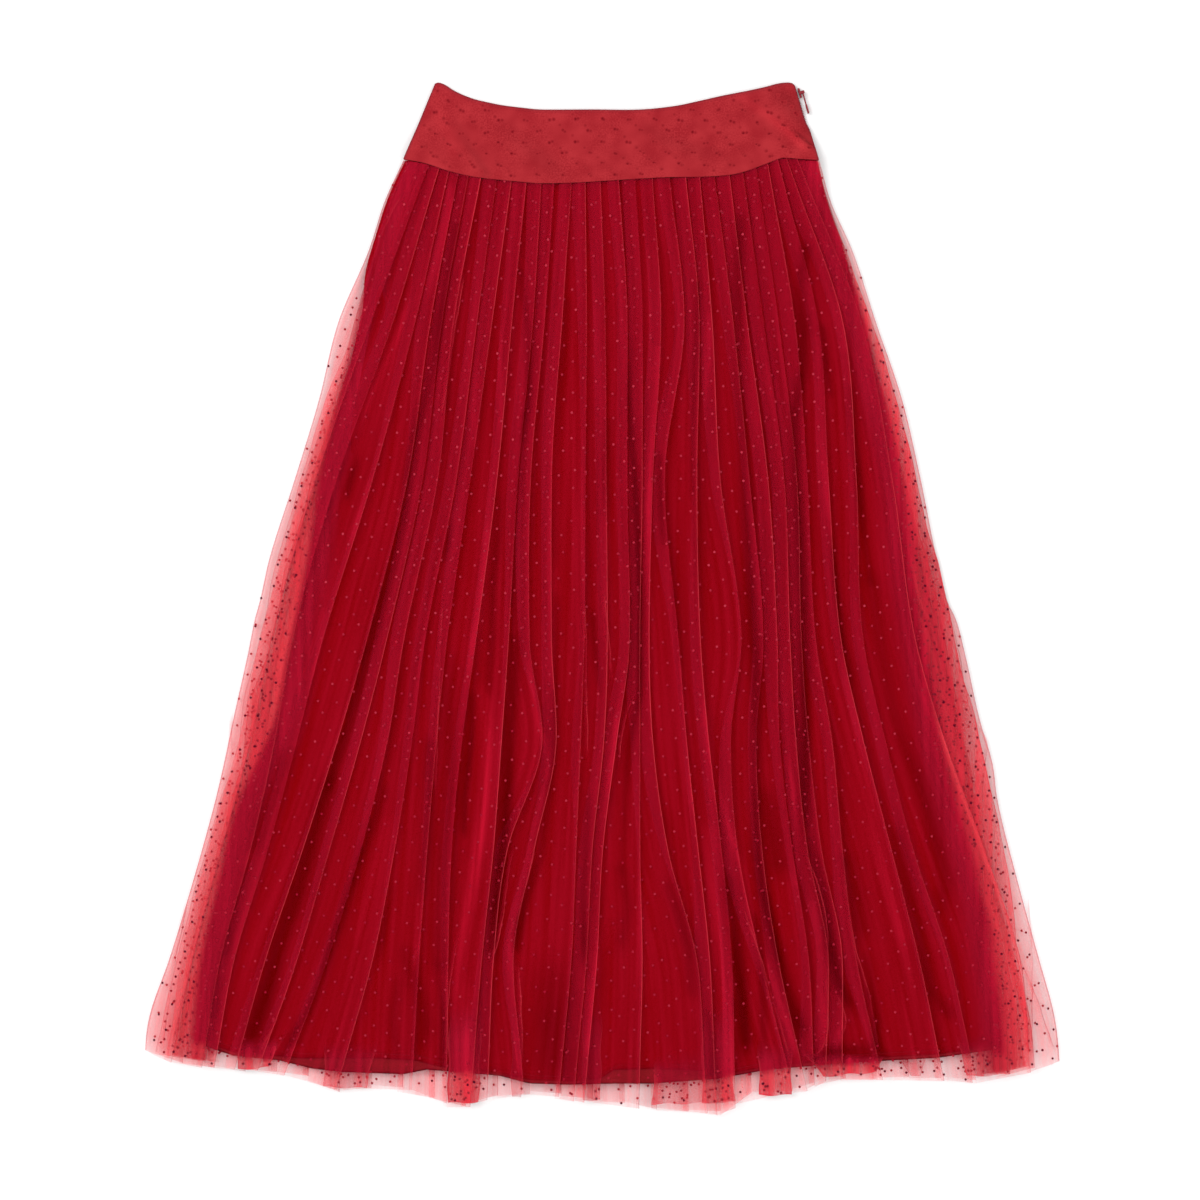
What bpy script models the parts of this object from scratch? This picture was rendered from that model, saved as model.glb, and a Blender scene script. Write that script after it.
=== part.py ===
"""Pleated midi skirt, laid flat with its front up.

Metres, +Z up from the surface that it lies on, +Y towards the waist, +X to the right of its front.
Every size below is in millimetres. A "drop" is measured down the front from the top of the yoke.
From the surface up lie the back overlay, the back lining, the front lining and the front overlay.
The front and back yokes butt against the overlays along the yoke seam.
"""

import math
from collections import namedtuple

import bmesh
import bpy
import numpy as np

MM = 0.001

# ---- driving dimensions ------------------------------------------------------------------------

WALL = 1.2  # thickness of the overlay and lining walls
YOKE_WALL = 1.5
GAP = 0.3  # between layers, and between pieces at a seam
LAYER = WALL + GAP

LINING_INSET = 11.0  # least distance from the overlay's side edge in to the lining's
ZIP_INSET = 1.0  # the same beside the zip, where the overlay's side is left open
MARGIN_FALL = 8.0  # width over which the front overlay comes down to the back one at the sides

BACK_OVERLAY_BASE = 0.0
BACK_LINING_BASE = 3 * LAYER
FRONT_LINING_BASE = 4 * LAYER
FRONT_OVERLAY_BASE = 5 * LAYER

YOKE_REST = 0.45  # share of the yoke's depth that lies flat, from the top
BACK_YOKE_LIFT = 3.0  # rise of the back yoke's underside at the seam, over the pleats' bulk
FRONT_YOKE_LIFT = 6.5

# The yoke's top edge, left to right: distance from the centre line, and drop.
YOKE_TOP = [
    (-145, 0), (-132, 4), (-118, 13), (-100, 17), (-80, 21), (-53, 24), (-8, 23), (24, 24),
    (63, 20.5), (83, 15.5), (102, 11), (129, 6), (142, 3), (156, 0.5), (161, 0), (166, 1.5), (169, 7),
]  # fmt: skip

# The seam between the yoke and the pleats, left to right.
YOKE_SEAM = [
    (-172, 67), (-152, 71), (-134, 77), (-113, 82), (-73, 86.5), (-53, 88), (-27, 87.5), (15, 85),
    (50, 83), (102, 81.5), (116, 79.5), (129, 75.5), (142, 70.5), (156, 66), (169, 67), (186, 68),
]  # fmt: skip

# The overlay's uneven hem, left to right.
OVERLAY_HEM = [
    (-393, 833), (-382, 841), (-345, 847), (-304, 852), (-262, 857), (-247, 860), (-221, 871),
    (-206, 866), (-150, 871), (-127, 885), (-104, 876), (-60, 871), (-20, 876), (20, 879),
    (43, 886), (80, 888), (101, 889), (115, 881), (133, 865), (152, 872), (176, 868), (189, 858),
    (232, 858), (285, 857), (317, 861), (350, 855), (367, 851), (393, 842),
]  # fmt: skip

BACK_LINING_HEM = [
    (-355, 825), (-336, 833), (-317, 839), (-277, 843), (-248, 850), (-223, 853), (-169, 855),
    (-149, 851), (-87, 856), (-60, 863), (-26, 864), (15, 863), (45, 863), (101, 859), (145, 851),
    (215, 845), (289, 841), (344, 833),
]  # fmt: skip

FRONT_LINING_HEM = [
    (-355, 823), (-317, 836), (-257, 841), (-187, 840), (-149, 843), (-68, 849), (6, 851),
    (28, 856), (45, 858), (101, 855), (145, 847), (215, 842), (289, 838), (344, 830),
]  # fmt: skip

# Side edges at each section down the skirt, as distances from the centre line.
Section = namedtuple("Section", "drop overlay_left lining_left lining_right overlay_right")
SECTIONS = [
    Section(67, -172, -168, 185, 186),
    Section(102, -188, -183, 194, 196),
    Section(145, -202, -195, 208, 215),
    Section(206, -228, -209, 224, 235),
    Section(274, -245, -225, 241, 258),
    Section(343, -266, -242, 256, 274),
    Section(412, -288, -252, 265, 288),
    Section(481, -304, -266, 275, 305),
    Section(550, -319, -280, 286, 322),
    Section(618, -334, -311, 303, 340),
    Section(687, -353, -329, 324, 357),
    Section(756, -374, -344, 337, 376),
    Section(808, -392, -350, 344, 390),
    Section(860, -396, -356, 344, 395),
]

# The front's folds, left to right. The columns give each fold's distance from the centre line at
# the drops in FOLD_DROPS, its underlap at the hem, and how far it stands up there, in layers.
FOLD_DROPS = (89, 206, 343, 481, 567, 661, 756, 842)
Fold = namedtuple("Fold", "x89 x206 x343 x481 x567 x661 x756 x842 tuck loft")
FOLDS = [
    Fold(-156, -199, -247, -285, -303, -328, -353, -371, 4, 1.0),
    Fold(-145, -180, -229, -267, -282, -303, -329, -344, 5, 1.1),
    Fold(-135, -161, -198, -241, -263, -288, -317, -333, 4, 1.0),
    Fold(-126, -148, -168, -203, -228, -258, -290, -314, 8, 1.8),
    Fold(-117, -138, -155, -186, -208, -235, -263, -293, 4, 1.0),
    Fold(-106, -128, -142, -171, -185, -208, -237, -269, 7, 1.5),
    Fold(-92, -108, -126, -153, -164, -179, -198, -222, 5, 1.1),
    Fold(-79, -95, -114, -134, -143, -151, -158, -163, 4, 1.1),
    Fold(-66, -78, -91, -109, -121, -130, -133, -134, 5, 1.5),
    Fold(-53, -60, -73, -81, -87, -94, -104, -111, 8, 1.8),
    Fold(-42, -50, -62, -63, -52, -82, -94, -98, 4, 1.4),
    Fold(-27, -35, -44, -44, -40, -59, -77, -70, 5, 1.1),
    Fold(-15, -14, -15, -16, -19, -23, -27, -35, 5, 1.2),
    Fold(-2, 2, 3, 4, 1, -9, -14, -22, 4, 1.0),
    Fold(14, 21, 21, 23, 12, 0, -5, -13, 6, 1.7),
    Fold(28, 34, 34, 32, 32, 32, 34, 32, 4, 1.0),
    Fold(43, 50, 43, 40, 43, 56, 81, 87, 4, 1.2),
    Fold(58, 70, 53, 65, 72, 82, 92, 96, 7, 1.5),
    Fold(72, 83, 81, 84, 91, 102, 111, 113, 7, 1.7),
    Fold(84, 94, 101, 119, 110, 116, 136, 157, 6, 1.2),
    Fold(97, 112, 126, 138, 132, 137, 151, 170, 4, 1.4),
    Fold(110, 124, 142, 150, 152, 163, 177, 181, 7, 1.6),
    Fold(122, 138, 156, 161, 166, 176, 194, 192, 7, 1.7),
    Fold(134, 151, 167, 171, 177, 188, 206, 206, 4, 1.0),
    Fold(145, 165, 176, 183, 197, 206, 218, 237, 7, 1.6),
    Fold(156, 185, 194, 205, 224, 248, 272, 290, 8, 1.7),
    Fold(166, 206, 218, 224, 243, 267, 298, 317, 5, 1.1),
    Fold(176, 222, 249, 269, 294, 328, 359, 367, 4, 1.0),
]

TUCK_TOP = 4.6  # underlap of every fold at the seam
LEAST_TUCK = 2.4
LEAST_RISE = 3.2  # least width over which a face climbs out from under the fold before it
CLEARANCE = WALL / 2 + GAP  # from a fold's edge to the middle of the wall beside it
BACK_RISE = 5.0  # width over which a back face comes down to the surface
BACK_FIRST = 0.9  # the first back fold's distance from the side, in pleat widths
BACK_WIDTHS = len(FOLDS) + 0.4  # the back's whole width, in pleat widths
PLACING_STEPS = 4  # tries at a fold's drop, which depends on its place across and the other way round
TURN_SLOPE = 0.35  # how steeply a smooth curve passes a value where it turns back

# Places of the rows of each panel, as shares of the way from the seam to the hem.
FRONT_ROWS = (0, 0.06, 0.15, 0.32, 0.5, 0.61, 0.73, 0.85, 0.95, 1)
BACK_ROWS = (0, 0.15, 0.4, 0.7, 1)
LINING_ROWS = (0, 0.07, 0.16, 0.33, 0.5, 0.61, 0.73, 0.86, 1)
LINING_COLUMNS = 22
YOKE_ROWS = (0, 0.2, YOKE_REST, 0.6, 0.72, 0.86, 1)
YOKE_COLUMNS = 26
SHARP_FROM = 35  # degrees between faces from which their edge is shaded sharp

# The concealed zip, closed, along the right side: yoke first, then the lining's side seam.
ZIP_DROP = 205.0  # its lower stop
ZIP_WIDTH = 1.6
ZIP_SECTIONS = 14
ZIP_STEP = 12.0  # length over which it passes from the yoke's edge to the lining's
ZIP_STEP_SECTIONS = 4
ZIP_TOP_RISE = 0.2  # how much taller it is at its top than between the linings
SLIDER_TOP = 4.8  # drop of the slider's upper end
SLIDER_LENGTH = 8.5
SLIDER_HEIGHT = 3.0
LUG_WIDTH = 2.4
LUG_HEIGHT = 0.9
PIN_RADIUS = 0.5
EYE_BORE = 0.8
EYE_RADIUS = 1.5
EYE_HEIGHT = 1.8
PULL_LENGTH = 19.0
PULL_THICKNESS = 1.2
PULL_TIP = (1.5, 8.0, 3.4)  # its thicker end: thickness, length and width
BEVEL = 0.25
INSIDE = 0.1  # how far a part of the slider lies inside the one that it is joined to
BORE_PAST = 1.0  # how far the cutter of the eye's bore reaches past it
ROUND_SIDES = 16
METAL_ROUGH = 0.35
CLOTH_ROUGH = 0.8

OVERLAY_RED = (0.62, 0.02, 0.045)
LINING_RED = (0.30, 0.0, 0.010)
YOKE_RED = (0.55, 0.025, 0.05)
ZIP_RED = (0.42, 0.01, 0.03)


# ---- curves ------------------------------------------------------------------------------------


def smooth(knots, values, at):
    """A smooth curve through the values, without overshoot, that goes straight on past its ends."""
    knots, values = np.asarray(knots, float), np.asarray(values, float)
    steps = np.diff(knots)
    slopes = np.diff(values) / steps
    inner = np.where(slopes[:-1] * slopes[1:] > 0, 1.0, TURN_SLOPE) * (slopes[:-1] + slopes[1:]) / 2
    tangents = np.concatenate([slopes[:1], inner, slopes[-1:]])
    at = np.asarray(at, float)
    i = np.clip(np.searchsorted(knots, at) - 1, 0, len(steps) - 1)
    t = (at - knots[i]) / steps[i]
    inside = np.clip(t, 0, 1)
    a, b = values[i], values[i + 1]
    m, n = tangents[i] * steps[i], tangents[i + 1] * steps[i]
    curve = (
        a * (1 + 2 * inside) * (1 - inside) ** 2
        + m * inside * (1 - inside) ** 2
        + b * inside**2 * (3 - 2 * inside)
        + n * inside**2 * (inside - 1)
    )
    return curve + np.where(t < 0, m * t, 0) + np.where(t > 1, n * (t - 1), 0)


def edge(points, across):
    """The drop of an edge given as (distance across, drop) points."""
    xs, drops = zip(*points)
    return np.interp(across, xs, drops)


def side(column, drop):
    return smooth([s.drop for s in SECTIONS], [getattr(s, column) for s in SECTIONS], drop)


def ease(t):
    t = min(max(t, 0.0), 1.0)
    return t * t * (3 - 2 * t)


def hem_ends(column_left, column_right, hem):
    """Where a panel's side edges meet its hem."""
    left, right = hem[0][0], hem[-1][0]
    return float(side(column_left, edge(hem, left))), float(side(column_right, edge(hem, right)))


def drop_at(share, row, hem, hem_left, hem_right):
    """The drop of a point that lies this share of the way across, and row of the way down a panel."""
    seam_x = YOKE_SEAM[0][0] + share * (YOKE_SEAM[-1][0] - YOKE_SEAM[0][0])
    top = edge(YOKE_SEAM, seam_x) + GAP / 2
    bottom = edge(hem, hem_left + share * (hem_right - hem_left))
    return top + row * (bottom - top)


# ---- pleated walls -----------------------------------------------------------------------------


def offset_line(line, distance):
    """The line of (across, height) points moved sideways by distance, with mitred corners."""
    ends = np.diff(line, axis=0)
    ends /= np.linalg.norm(ends, axis=1)[:, None]
    normals = np.column_stack([-ends[:, 1], ends[:, 0]])
    before = np.vstack([normals[:1], normals])
    after = np.vstack([normals, normals[-1:]])
    mitre = (before + after) / (1 + (before * after).sum(axis=1))[:, None]
    return line + mitre * distance


def fold_row(places, row):
    """The place across and the drop of every fold on this row. places(i, drop) gives fold i's place."""
    hem_left, hem_right = hem_ends("overlay_left", "overlay_right", OVERLAY_HEM)
    found = []
    for i in range(len(FOLDS)):
        drop = FOLD_DROPS[0] + row * (FOLD_DROPS[-1] - FOLD_DROPS[0])
        for _ in range(PLACING_STEPS):
            x = float(places(i, drop))
            left, right = float(side("overlay_left", drop)), float(side("overlay_right", drop))
            drop = drop_at((x - left) / (right - left), row, OVERLAY_HEM, hem_left, hem_right)
        found.append((x, drop))
    first = drop_at(0, row, OVERLAY_HEM, hem_left, hem_right)
    last = drop_at(1, row, OVERLAY_HEM, hem_left, hem_right)
    return (
        [float(side("overlay_left", first))] + [x for x, _ in found] + [float(side("overlay_right", last))],
        [first] + [drop for _, drop in found] + [last],
    )


def pleat_line(places, tucks, lofts, rise, margins):
    """The cloth's middle line on one row, as (across, layers up) points, from side edge to side edge.

    Each face ends in a fold at its right, turns back under itself by the tuck, and the next face
    starts below that. rise gives the width over which a face climbs from there, or None for all
    the room up to the next tuck. margins holds the layers up at the left edge, beside it, beside
    the right edge and at it.
    """
    left, folds, right = places[0], places[1:-1], places[-1]
    line = [(left, margins[0]), (left + MARGIN_FALL, margins[1])]
    start = left + MARGIN_FALL
    for x, tuck, loft in zip(folds, tucks, lofts):
        before_tuck = x - tuck - CLEARANCE
        climb = before_tuck if rise is None else min(before_tuck, start + rise)
        top = 2 * loft
        line += [(climb, top), (x - WALL / 2, top), (x - WALL / 2, top - 1)]
        line += [(x - tuck + WALL / 2, 1.0), (x - tuck + WALL / 2, 0.0)]
        start = x + CLEARANCE
        line.append((start, 0.0))
    line += [(right - MARGIN_FALL, margins[2]), (right, margins[3])]
    return np.array(line)


def tucks_of(places, hem_tucks, row):
    """Each fold's underlap on this row, no more than its distance from the fold before allows."""
    wanted = [TUCK_TOP + row * (tuck - TUCK_TOP) for tuck in hem_tucks]
    room = np.diff(places[:-1]) - 2 * CLEARANCE - LEAST_RISE
    return [max(LEAST_TUCK, min(pair)) for pair in zip(wanted, room)]


def thickened(line, places, drops, outward):
    """The outer and inner (across, drop, height) points of one row of an overlay."""
    skins = []
    for way in (outward, -outward):
        moved = offset_line(line, way * WALL / 2)
        skins.append([(x, np.interp(x, places, drops), z) for x, z in moved])
    return skins


def front_overlay():
    def place(i, drop):
        return smooth(FOLD_DROPS, FOLDS[i][: len(FOLD_DROPS)], drop)

    closed = (LAYER - FRONT_OVERLAY_BASE) / LAYER  # a side edge that meets the back overlay's
    rows = []
    for row in FRONT_ROWS:
        places, drops = fold_row(place, row)
        tucks = tucks_of(places, [f.tuck for f in FOLDS], row)
        lofts = [1 + row * (f.loft - 1) for f in FOLDS]
        right = 0.0 if drops[-1] < ZIP_DROP else closed
        line = pleat_line(places, tucks, lofts, None, (closed, 0.0, 0.0, right))
        line[:, 1] = FRONT_OVERLAY_BASE + WALL / 2 + line[:, 1] * LAYER
        rows.append(thickened(line, places, drops, 1))
    return wall("front_overlay", *zip(*rows), OVERLAY_RED)


def back_overlay():
    """Even pleats, whose faces lie flat on the surface and whose underlaps lie above them."""

    def place(i, drop):
        left = float(side("overlay_left", drop)) + MARGIN_FALL
        right = float(side("overlay_right", drop)) - MARGIN_FALL
        return left + (right - left) * (i + BACK_FIRST) / BACK_WIDTHS

    count = len(FOLDS)
    rows = []
    for row in BACK_ROWS:
        places, drops = fold_row(place, row)
        tucks = tucks_of(places, [TUCK_TOP] * count, row)
        line = pleat_line(places, tucks, [1] * count, BACK_RISE, (2.0, 2.0, 2.0, 2.0))
        line[:, 1] = BACK_OVERLAY_BASE + WALL / 2 + (2 - line[:, 1]) * LAYER
        rows.append(thickened(line, places, drops, -1))
    return wall("back_overlay", *zip(*rows), OVERLAY_RED)


def wall(name, outer, inner, colour):
    """A closed wall between two grids of (across, drop, height) points."""
    rows, columns = len(outer), len(outer[0])
    bm = bmesh.new()
    skins = []
    for points in (outer, inner):
        start = len(bm.verts)
        bmesh.ops.create_grid(bm, x_segments=columns - 1, y_segments=rows - 1, size=1)
        bm.verts.ensure_lookup_table()
        skin = bm.verts[start:]
        for vert, (x, drop, z) in zip(skin, (p for line in points for p in line)):
            vert.co = (x * MM, -drop * MM, z * MM)
        skins.append(skin)
    rim = list(range(columns))
    rim += [(r + 1) * columns - 1 for r in range(1, rows)]
    rim += [(rows - 1) * columns + c for c in range(columns - 2, -1, -1)]
    rim += [r * columns for r in range(rows - 2, 0, -1)]
    for a, b in zip(rim, rim[1:] + rim[:1]):
        bm.faces.new((skins[0][a], skins[0][b], skins[1][b], skins[1][a]))
    return finished(bm, name, colour)


def finished(bm, name, colour, rough=CLOTH_ROUGH):
    bmesh.ops.recalc_face_normals(bm, faces=bm.faces)
    mesh = bpy.data.meshes.new(name)
    bm.to_mesh(mesh)
    bm.free()
    mesh.shade_smooth()
    mesh.set_sharp_from_angle(angle=math.radians(SHARP_FROM))
    obj = bpy.data.objects.new(name, mesh)
    bpy.context.scene.collection.objects.link(obj)
    material = bpy.data.materials.new(name)
    material.use_nodes = True
    surface = material.node_tree.nodes["Principled BSDF"]
    surface.inputs["Base Color"].default_value = (*colour, 1)
    surface.inputs["Roughness"].default_value = rough
    obj.data.materials.append(material)
    return obj


# ---- linings and yokes -------------------------------------------------------------------------


def lining_point(share, row, hem):
    """The place and drop of a point of a lining, this share of the way across and row down."""
    hem_left, hem_right = hem_ends("lining_left", "lining_right", hem)
    drop = drop_at(share, row, hem, hem_left, hem_right)
    left = max(side("lining_left", drop), side("overlay_left", drop) + LINING_INSET)
    inset = ZIP_INSET if drop < ZIP_DROP else LINING_INSET
    right = min(side("lining_right", drop), side("overlay_right", drop) - inset)
    return left + share * (right - left - ZIP_WIDTH - GAP), drop


def lining(name, hem, base):
    shares = [c / (LINING_COLUMNS - 1) for c in range(LINING_COLUMNS)]
    outer = [[(*lining_point(share, row, hem), base + WALL) for share in shares] for row in LINING_ROWS]
    inner = [[(x, drop, z - WALL) for x, drop, z in line] for line in outer]
    return wall(name, outer, inner, LINING_RED)


def yoke_point(share, down):
    """The place and drop of a point of the yoke, this share of the way across and down."""
    top_x = YOKE_TOP[0][0] + share * (YOKE_TOP[-1][0] - ZIP_WIDTH - GAP - YOKE_TOP[0][0])
    seam_x = YOKE_SEAM[0][0] + share * (YOKE_SEAM[-1][0] - ZIP_WIDTH - GAP - YOKE_SEAM[0][0])
    top, seam = edge(YOKE_TOP, top_x), edge(YOKE_SEAM, seam_x) - GAP / 2
    return top_x + down * (seam_x - top_x), top + down * (seam - top)


def yoke_lift(down):
    return ease((down - YOKE_REST) / (1 - YOKE_REST))


def yoke(name, base, lift):
    shares = [c / (YOKE_COLUMNS - 1) for c in range(YOKE_COLUMNS)]
    outer = []
    for down in YOKE_ROWS:
        height = base + lift * yoke_lift(down) + YOKE_WALL
        outer.append([(*yoke_point(share, down), height) for share in shares])
    inner = [[(x, drop, z - YOKE_WALL) for x, drop, z in line] for line in outer]
    return wall(name, outer, inner, YOKE_RED)


# ---- the zip -----------------------------------------------------------------------------------


def down_yoke_edge(drop):
    """How far down the yoke's right edge a drop lies, as a share."""
    top, bottom = yoke_point(1, 0)[1], yoke_point(1, 1)[1]
    return (drop - top) / (bottom - top)


def zip_place(drop):
    """The zip's left edge at this drop: beside the yoke first, and beside the lining below the seam."""
    seam_drop = YOKE_SEAM[-1][1]
    if drop <= seam_drop:
        return yoke_point(1, down_yoke_edge(drop))[0] + GAP
    edge_xs, edge_drops = zip(*(lining_point(1, row, BACK_LINING_HEM) for row in LINING_ROWS))
    lining_edge = np.interp(drop, edge_drops, edge_xs)
    step = ease((drop - seam_drop) / ZIP_STEP)
    return (1 - step) * (yoke_point(1, 1)[0] + GAP) + step * (lining_edge + 2 * GAP)


def zip_chain():
    """The closed chain and its tape edges: a narrow strip on edge, between front and back."""
    top = SLIDER_TOP + SLIDER_LENGTH + GAP
    seam_drop = YOKE_SEAM[-1][1]
    drops = np.linspace(top, ZIP_DROP, ZIP_SECTIONS)
    crossing = seam_drop + np.linspace(0, ZIP_STEP, ZIP_STEP_SECTIONS)
    drops = np.unique(np.concatenate([drops, crossing]))
    near, far = [], []
    for drop in drops:
        rise = yoke_lift(down_yoke_edge(drop))
        low = GAP + (BACK_LINING_BASE - GAP) * rise
        high = low + 2 * LAYER - GAP + ZIP_TOP_RISE * (1 - rise)
        x = zip_place(drop)
        near.append([(x, drop, low), (x, drop, high)])
        far.append([(x + ZIP_WIDTH, drop, low), (x + ZIP_WIDTH, drop, high)])
    return wall("zip_chain", near, far, ZIP_RED)


def box(name, centre, size, turn, colour):
    """A block with small bevels, turned about the vertical."""
    bm = bmesh.new()
    bmesh.ops.create_cube(bm, size=1)
    bmesh.ops.scale(bm, vec=[s * MM for s in size], verts=bm.verts)
    bmesh.ops.bevel(
        bm, geom=bm.edges[:], offset=BEVEL * MM, segments=1, profile=0.5, affect="EDGES", material=-1
    )
    obj = finished(bm, name, colour, rough=METAL_ROUGH)
    obj.rotation_euler.z = turn
    obj.location = [c * MM for c in centre]
    return obj


def post(name, centre, radius, low, high):
    """An upright round post."""
    bm = bmesh.new()
    bmesh.ops.create_cone(
        bm,
        cap_ends=True,
        segments=ROUND_SIDES,
        radius1=radius * MM,
        radius2=radius * MM,
        depth=(high - low) * MM,
    )
    obj = finished(bm, name, ZIP_RED, rough=METAL_ROUGH)
    obj.location = (centre[0] * MM, centre[1] * MM, (low + high) / 2 * MM)
    return obj


def combined(obj, other, operation):
    """Joins the other shape to obj, or cuts it out, and keeps the other as a hidden helper."""
    modifier = obj.modifiers.new(other.name, "BOOLEAN")
    modifier.operation = operation
    modifier.object = other
    other.hide_render = True
    other.display_type = "WIRE"
    return obj


def zip_slider_and_pull():
    """The slider on the chain's top end, with an upright pin, and the pull that turns about it."""
    lean = math.atan2(YOKE_SEAM[-1][0] - YOKE_TOP[-1][0], YOKE_SEAM[-1][1] - YOKE_TOP[-1][1])
    along = np.array([math.sin(lean), -math.cos(lean)])  # down the side edge, in plan
    out = np.array([math.cos(lean), math.sin(lean)])  # away from the skirt

    middle_drop = SLIDER_TOP + SLIDER_LENGTH / 2
    body = np.array([zip_place(middle_drop) + ZIP_WIDTH / 2, -middle_drop])
    slider = box(
        "zip_slider",
        (*body, GAP + SLIDER_HEIGHT / 2),
        (ZIP_WIDTH, SLIDER_LENGTH, SLIDER_HEIGHT),
        lean,
        ZIP_RED,
    )
    # The bridge: two lugs that reach out from the slider, one below and one above the pull's eye.
    pin = body + out * (ZIP_WIDTH / 2 + EYE_RADIUS + GAP)
    lug_length = ZIP_WIDTH / 2 + 2 * EYE_RADIUS + GAP
    low_lug = (GAP, GAP + LUG_HEIGHT)
    eye_low = low_lug[1] + GAP
    high_lug = (eye_low + EYE_HEIGHT + GAP, eye_low + EYE_HEIGHT + GAP + LUG_HEIGHT)
    lug_middle = body + out * (lug_length / 2)
    for name, (low, high) in (("lug_low", low_lug), ("lug_high", high_lug)):
        lug = box(
            name, (*lug_middle, (low + high) / 2), (lug_length, LUG_WIDTH, high - low), lean, ZIP_RED
        )
        combined(slider, lug, "UNION")
    riser = box(
        "lug_riser",
        (*body, (low_lug[0] + high_lug[1]) / 2),
        (ZIP_WIDTH - 2 * INSIDE, LUG_WIDTH, high_lug[1] - low_lug[0]),
        lean,
        ZIP_RED,
    )
    combined(slider, riser, "UNION")
    inside = LUG_HEIGHT / 2
    combined(slider, post("pin", pin, PIN_RADIUS, low_lug[0] + inside, high_lug[1] - inside), "UNION")

    hinge = bpy.data.objects.new("pull_hinge", None)
    bpy.context.scene.collection.objects.link(hinge)
    hinge.location = (pin[0] * MM, pin[1] * MM, 0)
    eye_middle = eye_low + EYE_HEIGHT / 2
    pull_middle = along * (EYE_BORE + PULL_LENGTH) / 2
    pull = box(
        "zip_pull",
        (*pull_middle, eye_middle),
        (PULL_THICKNESS, PULL_LENGTH - EYE_BORE, EYE_HEIGHT),
        lean,
        ZIP_RED,
    )
    tip = box(
        "pull_tip",
        (*(along * (PULL_LENGTH - PULL_TIP[1] / 2)), eye_middle),
        PULL_TIP,
        lean,
        ZIP_RED,
    )
    eye = post("pull_eye", (0, 0), EYE_RADIUS, eye_low, eye_low + EYE_HEIGHT)
    bore = post("pull_bore", (0, 0), EYE_BORE, eye_low - BORE_PAST, eye_low + EYE_HEIGHT + BORE_PAST)
    for piece in (pull, tip, eye, bore):
        piece.parent = hinge
    combined(pull, tip, "UNION")
    combined(pull, eye, "UNION")
    combined(pull, bore, "DIFFERENCE")


# ---- the skirt ---------------------------------------------------------------------------------


def centre_on_box():
    """Moves the whole skirt so that the middle of its outline's box, in plan, is over the origin."""
    corners = [
        obj.matrix_world @ vert.co
        for obj in bpy.context.scene.objects
        if obj.type == "MESH" and not obj.hide_render
        for vert in obj.data.vertices
    ]
    xs, ys = [c.x for c in corners], [c.y for c in corners]
    shift = ((min(xs) + max(xs)) / 2, (min(ys) + max(ys)) / 2)
    for obj in bpy.context.scene.objects:
        if obj.parent is None:
            obj.location.x -= shift[0]
            obj.location.y -= shift[1]


def build():
    for obj in list(bpy.data.objects):
        bpy.data.objects.remove(obj)
    back_overlay()
    lining("back_lining", BACK_LINING_HEM, BACK_LINING_BASE)
    lining("front_lining", FRONT_LINING_HEM, FRONT_LINING_BASE)
    front_overlay()
    yoke("back_yoke", 0.0, BACK_YOKE_LIFT)
    yoke("front_yoke", YOKE_WALL + GAP, FRONT_YOKE_LIFT)
    zip_chain()
    zip_slider_and_pull()
    bpy.context.view_layer.update()
    centre_on_box()


build()
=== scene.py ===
"""The looks of a pleated midi skirt, laid flat with its front up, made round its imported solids.

Metres, +Z up from the surface, +Y towards the waist, +X to the right of the skirt's front. The
tables and sizes are in millimetres. A "drop" is measured down the front from the top of the yoke,
and "across" from the centre line. From the surface up lie the back net, the back lining, the front
lining and the front net. Each sheet is one surface in a fine grid of rows, from the seam down,
and columns, from left to right along the cloth.
"""

from collections import namedtuple
from functools import cache

import bmesh
import bpy
import numpy as np
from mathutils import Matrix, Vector


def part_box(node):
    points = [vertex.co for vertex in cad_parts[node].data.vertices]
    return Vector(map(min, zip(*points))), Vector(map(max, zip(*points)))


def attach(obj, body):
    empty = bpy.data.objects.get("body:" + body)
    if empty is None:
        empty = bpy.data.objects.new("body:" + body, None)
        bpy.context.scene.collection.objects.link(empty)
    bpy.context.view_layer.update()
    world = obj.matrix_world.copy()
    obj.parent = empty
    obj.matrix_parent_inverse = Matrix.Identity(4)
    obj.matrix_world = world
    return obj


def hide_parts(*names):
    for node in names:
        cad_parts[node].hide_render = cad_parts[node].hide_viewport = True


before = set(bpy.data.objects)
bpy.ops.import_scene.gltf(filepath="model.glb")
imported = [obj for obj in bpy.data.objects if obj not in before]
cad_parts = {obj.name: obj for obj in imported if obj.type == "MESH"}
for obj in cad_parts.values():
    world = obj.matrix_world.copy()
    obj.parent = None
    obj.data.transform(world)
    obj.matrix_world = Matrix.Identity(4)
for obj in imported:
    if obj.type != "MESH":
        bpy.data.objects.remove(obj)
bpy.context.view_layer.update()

MM = 0.001

# ---- sizes -------------------------------------------------------------------------------------

# The yoke's top edge, left to right: distance from the centre line, and drop
YOKE_TOP = [
    (-145, 1), (-143, 0), (-139.5, 0.5), (-134.5, 3), (-128.5, 7), (-120, 11), (-112, 14), (-104, 16),
    (-88, 19.3), (-71, 21.5), (-53, 23.2), (-8, 23.2), (24, 23.5), (63, 20), (83, 15.8), (102, 11.5),
    (124, 7.2), (140, 3.7), (151, 0.8), (159, 0), (164, 1), (167.5, 5),
]  # fmt: skip

# The seam between the yoke and the pleats, left to right
YOKE_SEAM = [
    (-172, 67), (-152, 71), (-134, 77), (-113, 82), (-73, 86.5), (-53, 88), (-27, 87.5), (15, 85),
    (50, 83), (102, 81.5), (116, 79.5), (129, 75.5), (142, 70.5), (156, 66), (169, 67), (186, 68),
]  # fmt: skip

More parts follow.
